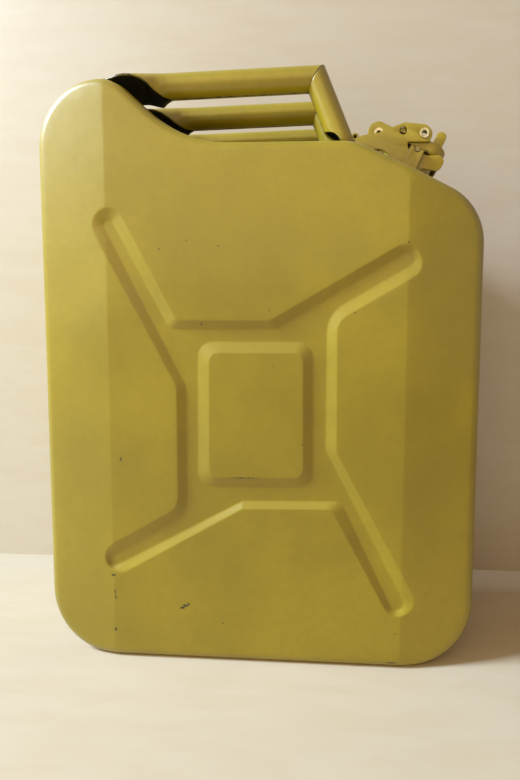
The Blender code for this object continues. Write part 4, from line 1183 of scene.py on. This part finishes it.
def bracket_forms():
    """The saddle round the neck, and the hinge's ears and the studs' lugs on it."""
    steps = 8
    corners = rounded(SADDLE_CORNERS, (SADDLE_RADIUS,) * 4, steps)
    half = math.degrees(math.acos(SADDLE_CORNERS[1][0] / SADDLE_NOTCH))
    notch = arc((0.0, 0.0), SADDLE_NOTCH, half, 360.0 - half, 72)
    split = 2 * (steps + 1)
    saddle = plate([corners[:split] + notch[::-1] + corners[split:]], SADDLE_TOP - WELD_GAP)
    saddle.transform(Matrix.Translation((0, 0, WELD_GAP)))
    ear = arc(HINGE, EAR_RADIUS, 0, 180, 24) + [(u, PLATE_FOOT) for u in EAR_FOOT]
    lug = [(LUG_FRONT, PLATE_FOOT), (LUG_FRONT, LUG_TOP), (STUD[0] + STUD_NOTCH, LUG_TOP)]
    lug += arc(STUD, STUD_NOTCH, 0, -180, 14)
    lug += [(STUD[0] - STUD_NOTCH, LUG_TOP), (LUG_BACK, LUG_TOP), (LUG_BACK, PLATE_FOOT)]
    ears = both_sides([ear, circle(HINGE, EYE_RADIUS)], EARS)
    return [saddle] + ears + both_sides([lug], LUGS)


def hood_sheet(material):
    """The hood's crown and skirt as one bent sheet, open at the back."""
    rows = [(0.0, n) for n in HOOD_SKIRT]
    for i in range(8):
        turn = math.pi / 2 * i / 7
        inset = HOOD_EDGE_RADIUS * (1 - math.cos(turn))
        rows.append((inset, HOOD_TOP - HOOD_EDGE_RADIUS * (1 - math.sin(turn))))
    verts = []
    for inset, n in rows:
        half, front = HOOD_HALF_WIDTH - inset, HOOD_FRONT - inset
        corners = [(HOOD_BACK, -half), (front, -half), (front, half), (HOOD_BACK, half)]
        radius = HOOD_FRONT_RADIUS - inset
        line = rounded(corners, (0.0, radius, radius, 0.0), 14)
        verts += [tuple(CLOSURE @ (Vector((u, v, n)) * MM)) for u, v in line]
    count = len(line)
    faces = ring_faces(len(rows), count, closed=False)
    faces.append(tuple(range((len(rows) - 1) * count, len(rows) * count)))
    mesh = mesh_from("hood_sheet", verts, faces)
    face_outward(mesh, CLOSURE.to_3x3() @ Vector((0, 0, 1)))
    obj = finish_mesh("hood_sheet", mesh, material, LID, ["lid_hood"], 45.0)
    thicken(obj, HOOD_SHEET * MM, -1.0)
    for place, radius in ((LOCK, LOCK_RADIUS), (PIVOT, EYE_RADIUS)):
        rod = across(turned([(0.0, -40.0), (radius, -40.0), (radius, 40.0), (0.0, 40.0)], 40), place)
        rod.transform(CLOSURE_MM)
        bmesh.ops.recalc_face_normals(rod, faces=rod.faces)
        cutter = link_object("hood_drill", mesh_of(rod, "hood_drill"))
        drill(obj, cutter, "EXACT")
        apply_modifiers(obj)
        bpy.data.objects.remove(cutter, do_unlink=True)


def hood_side_forms():
    """The hood's side plates with their arms to the hinge, and the upright tab."""
    side = arc(HINGE, HOOD_HINGE_ROUND, 105, 255, 28) + list(HOOD_SIDE_FOOT)
    side += arc(PIVOT, HOOD_PIVOT_ROUND, 0, 180, 24)
    side += [(PIVOT[0] - HOOD_PIVOT_ROUND, HOOD_SIDE_TOP), (HOOD_SIDE_BACK, HOOD_SIDE_TOP)]
    holes = [circle(HINGE, EYE_RADIUS), circle(LOCK, LOCK_RADIUS), circle(PIVOT, EYE_RADIUS)]
    tab = upright([rounded_table(TAB, 10)], *TAB_SPAN)
    return both_sides([side, *holes], HOOD_SIDES) + [tab]


def lever_place(shares):
    """A place in u and n, given from the pivot in shares of the lever's length."""
    return PIVOT[0] + LEVER_LENGTH * shares[0], PIVOT[1] + LEVER_LENGTH * shares[1]


def lever_forms():
    cheek = rounded([lever_place(row) for row in CHEEK], [LEVER_LENGTH * row[2] for row in CHEEK])
    forms = both_sides([cheek, circle(PIVOT, EYE_RADIUS), circle(LOCK, LOCK_RADIUS)], CHEEKS)
    back, front = (lever_place(shares) for shares in WEB)
    web = [back, front, (front[0], front[1] + LEVER_SHEET), (back[0], back[1] + LEVER_SHEET)]
    low, high = (lever_place(shares) for shares in TAIL)
    tail = [low, (low[0] + LEVER_SHEET, low[1]), (high[0] + LEVER_SHEET, high[1]), high]
    # The finger tab rises from the tail's web and ends in a rolled lip
    foot = high[1] - LEVER_SHEET
    outer, inner = FINGER_LIP_RADIUS, FINGER_LIP_RADIUS - LEVER_SHEET
    stem = [
        (FINGER_LIP[0] + inner, FINGER_LIP[1] + 0.6), (FINGER_LIP[0] + outer, FINGER_LIP[1] - 0.6),
        (high[0] + LEVER_SHEET, foot), (high[0], foot),
    ]
    lip = [circle(FINGER_LIP, outer, 32), circle(FINGER_LIP, inner, 24)]
    for loops, half in (
        ([web], LEVER_WEB_HALF), ([tail], LEVER_WEB_HALF), ([stem], FINGER_HALF), (lip, FINGER_HALF),
    ):
        forms.append(upright(loops, -half, half))
    return forms


def pin_form():
    profile = [(radius, -v) for radius, v in reversed(PIN_HALF_PROFILE)] + list(PIN_HALF_PROFILE)
    return across(turned(profile, 40), HINGE)


def stud_forms():
    return [across(turned(STUD_PROFILE, 28), STUD, flip) for flip in (False, True)]


def rivet_form(flip):
    return across(turned(RIVET_PROFILE, 40), PIVOT, flip)


def coat_node(name, material):
    """Give a CAD node that stays in the scene its finish."""
    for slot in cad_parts[name].material_slots:
        slot.material = material


# Operators, one for each group of pieces and one for the stage

class FUELCAN_OT_shells(Operator):
    """Build the two pressed half shells with their cross pressing and neck hole"""
    bl_idname = "fuelcan.shells"
    bl_label = "Shells"

    def execute(self, context):
        front = paint("front_paint", CHIPS, wear=0.5)
        rear = paint("rear_paint", wear=0.5)
        cutter = neck_cutter()
        build_shell("front_shell_skin", -1, "front_shell", front, cutter)
        build_shell("rear_shell_skin", 1, "rear_shell", rear, cutter)
        bpy.data.objects.remove(cutter, do_unlink=True)
        return {"FINISHED"}


class FUELCAN_OT_handles(Operator):
    """Roll the three grips and struts and weld them on"""
    bl_idname = "fuelcan.handles"
    bl_label = "Handles"

    def execute(self, context):
        outer = paint("handle_paint", wear=0.4, darken=-0.10)
        # The tubes' inside is near-black as painted shade.
        inner = plated("tube_inside_shade", TUBE_INSIDE_SHADE, 0.6, 0.3)
        for row, y in HANDLE_ROWS:
            build_grip(row, y, outer, inner)
            build_strut(row, y, outer, inner)
            handle_welds(row, y, outer)
        return {"FINISHED"}


class FUELCAN_OT_neck(Operator):
    """Build the neck, its bracket with ears and lugs, the studs and the pin, and give the breather
    its finish
    """
    bl_idname = "fuelcan.neck"
    bl_label = "Neck and bracket"

    def execute(self, context):
        # Lighter than the body paint, as painted light: it makes up for the shade the handles cast on
        # the closure.
        coat = paint("bracket_paint", wear=0.2, darken=-0.22)
        # The studs are darker than the paint as painted shade.
        steel = plated("stud_steel_shaded", STUD_STEEL_SHADED, 0.55)
        zinc = plated("pin_zinc", PIN_ZINC, 0.42)
        for name, forms, material, nodes, slot in (
            ("neck_skin", [neck_form()], coat, ["neck_tube"], "body_paint"),
            ("bracket_skin", bracket_forms(), coat, ["neck_bracket"], "body_paint"),
            ("stud_skin", stud_forms(), steel, ["front_stud", "rear_stud"], "steel"),
            ("pin_skin", [pin_form()], zinc, ["hinge_pin"], "zinc"),
        ):
            closure_piece(name, forms, material, CAN, nodes)
        coat_node("breather_tube", plated("breather_steel", BREATHER_STEEL, 0.5))
        return {"FINISHED"}


class FUELCAN_OT_lid(Operator):
    """Build the hood with its side plates and tab, the seal, the disc and the rivets"""
    bl_idname = "fuelcan.lid"
    bl_label = "Lid"

    def execute(self, context):
        # Lighter than the body paint, as painted light: it makes up for the shade the handles cast on
        # the closure.
        coat = paint("hood_paint", wear=0.2, darken=-0.22)
        steel = plated("disc_steel", DISC_STEEL, 0.40)
        zinc = plated("rivet_zinc", RIVET_ZINC, 0.42)
        soft = rubber("seal_rubber")
        hood_sheet(coat)
        for name, forms, material, nodes, slot in (
            ("hood_sides", hood_side_forms(), coat, [], "closure_paint"),
            ("gasket_skin", [turned(GASKET_PROFILE)], soft, ["lid_gasket"], "seal"),
            ("disc_skin", [turned(DISC_PROFILE)], steel, ["seal_disc"], "steel"),
            ("cap_rivet_skin", [turned(CAP_RIVET_PROFILE, 36)], zinc, ["cap_rivet"], "zinc"),
            ("front_rivet_skin", [rivet_form(True)], zinc, ["front_pivot_rivet"], "zinc"),
            ("rear_rivet_skin", [rivet_form(False)], zinc, ["rear_pivot_rivet"], "zinc"),
        ):
            closure_piece(name, forms, material, LID, nodes)
        return {"FINISHED"}


class FUELCAN_OT_lever(Operator):
    """Build the cam lever with its cheeks, webs and finger tab"""
    bl_idname = "fuelcan.lever"
    bl_label = "Cam lever"

    def execute(self, context):
        # Lighter than the body paint, as painted light: it makes up for the shade the handles cast on
        # the closure.
        coat = paint("lever_paint", wear=0.2, darken=-0.32)
        closure_piece("lever_skin", lever_forms(), coat, LEVER, ["cam_lever"])
        steel = plated("cam_steel", CAM_STEEL, 0.55)
        for name in ("front_cam", "rear_cam"):
            coat_node(name, steel)
        return {"FINISHED"}


class FUELCAN_OT_stage(Operator):
    """Set the table, the wall, the lights and the camera"""
    bl_idname = "fuelcan.stage"
    bl_label = "Stage"

    def execute(self, context):
        look = settings().stage
        half, top, back = BOARD_HALF_WIDTH, WALL_HEIGHT, look.wall_distance
        floor = ((-half, -half, 0), (half, -half, 0), (half, half, 0), (-half, half, 0))
        upright_board = ((-half, back, 0), (half, back, 0), (half, back, top), (-half, back, top))
        for name, colour, corners in (
            ("table", look.floor, floor),
            ("wall", look.wall, upright_board),
        ):
            mesh = mesh_from(name, corners, [(0, 1, 2, 3)])
            mesh.materials.append(laminate(name + "_board", colour, name == "wall"))
            obj = link_object(name, mesh)
        self.surroundings(context.scene, look.fill)
        self.lamps(look.key)
        self.camera(context.scene)
        context.scene.view_settings.view_transform = "Standard"
        return {"FINISHED"}

    def surroundings(self, scene, strength):
        """A warm sky that lights the can, and a pale backdrop for the rays that see it."""
        scene.world = bpy.data.worlds.new("studio")
        scene.world.use_nodes = True
        tree = scene.world.node_tree
        sky = tree.nodes["Background"]
        feed(tree, sky.inputs["Color"], SKY)
        feed(tree, sky.inputs["Strength"], strength)
        pale = add(tree, "ShaderNodeBackground", {"Color": BACKDROP, "Strength": 1.0})
        choice = {0: seen_rays(tree), 1: sky.outputs[0], 2: pale.outputs[0]}
        mix = add(tree, "ShaderNodeMixShader", choice)
        feed(tree, tree.nodes["World Output"].inputs["Surface"], mix.outputs[0])

    def lamps(self, power):
        for name, place, size, share, colour, in_gloss in LAMPS:
            lamp = bpy.data.lights.new(name, "AREA")
            lamp.size = size
            lamp.energy = power * share
            lamp.color = colour
            obj = link_object(name, lamp)
            obj.location = place
            obj.visible_camera = False
            obj.visible_glossy = in_gloss
            aim = LAMP_TARGET - Vector(place)
            obj.rotation_euler = aim.to_track_quat("-Z", "Y").to_euler()

    def camera(self, scene):
        data = bpy.data.cameras.new("view")
        data.lens = CAMERA_LENS
        data.sensor_width = CAMERA_SENSOR
        data.shift_x, data.shift_y = CAMERA_SHIFT
        data.clip_start = 0.01
        eye = link_object("view", data)
        turn = Matrix((CAMERA_RIGHT, CAMERA_UP, CAMERA_RIGHT.cross(CAMERA_UP))).transposed()
        eye.matrix_world = Matrix.Translation(CAMERA_PLACE) @ turn.to_4x4()
        scene.camera = eye


STEPS = (
    FUELCAN_OT_shells,
    FUELCAN_OT_handles,
    FUELCAN_OT_neck,
    FUELCAN_OT_lid,
    FUELCAN_OT_lever,
    FUELCAN_OT_stage,
)


class FUELCAN_PT_panel(Panel):
    """Lists the pieces of the can and their settings"""
    bl_idname = "FUELCAN_PT_panel"
    bl_label = "Fuel Can"
    bl_space_type = "VIEW_3D"
    bl_region_type = "UI"
    bl_category = "Fuel Can"

    def draw(self, context):
        groups = context.scene.fuel_can
        for name in ("paint", "body", "handles", "closure", "stage"):
            box = self.layout.box()
            box.label(text=name.capitalize())
            group = getattr(groups, name)
            for key in group.__annotations__:
                box.prop(group, key)
        for step in STEPS:
            self.layout.operator(step.bl_idname)


class FuelCanSettings(PropertyGroup):
    paint: PointerProperty(type=PaintSettings, name="Paint", description="Paint of the can")
    body: PointerProperty(type=BodySettings, name="Body", description="Pressed body")
    handles: PointerProperty(type=HandleSettings, name="Handles", description="Rolled handles")
    closure: PointerProperty(type=ClosureSettings, name="Closure", description="Cam closure")
    stage: PointerProperty(type=StageSettings, name="Stage", description="Table, wall and light")


CLASSES = (
    PaintSettings, BodySettings, HandleSettings, ClosureSettings, StageSettings,
    FuelCanSettings, *STEPS, FUELCAN_PT_panel,
)


def register():
    for cls in CLASSES:
        bpy.utils.register_class(cls)
    bpy.types.Scene.fuel_can = PointerProperty(type=FuelCanSettings)


def unregister():
    del bpy.types.Scene.fuel_can
    for cls in reversed(CLASSES):
        bpy.utils.unregister_class(cls)


def main():
    register()
    for step in STEPS:
        group, name = step.bl_idname.split(".")
        getattr(getattr(bpy.ops, group), name)()


if __name__ == "__main__":
    main()
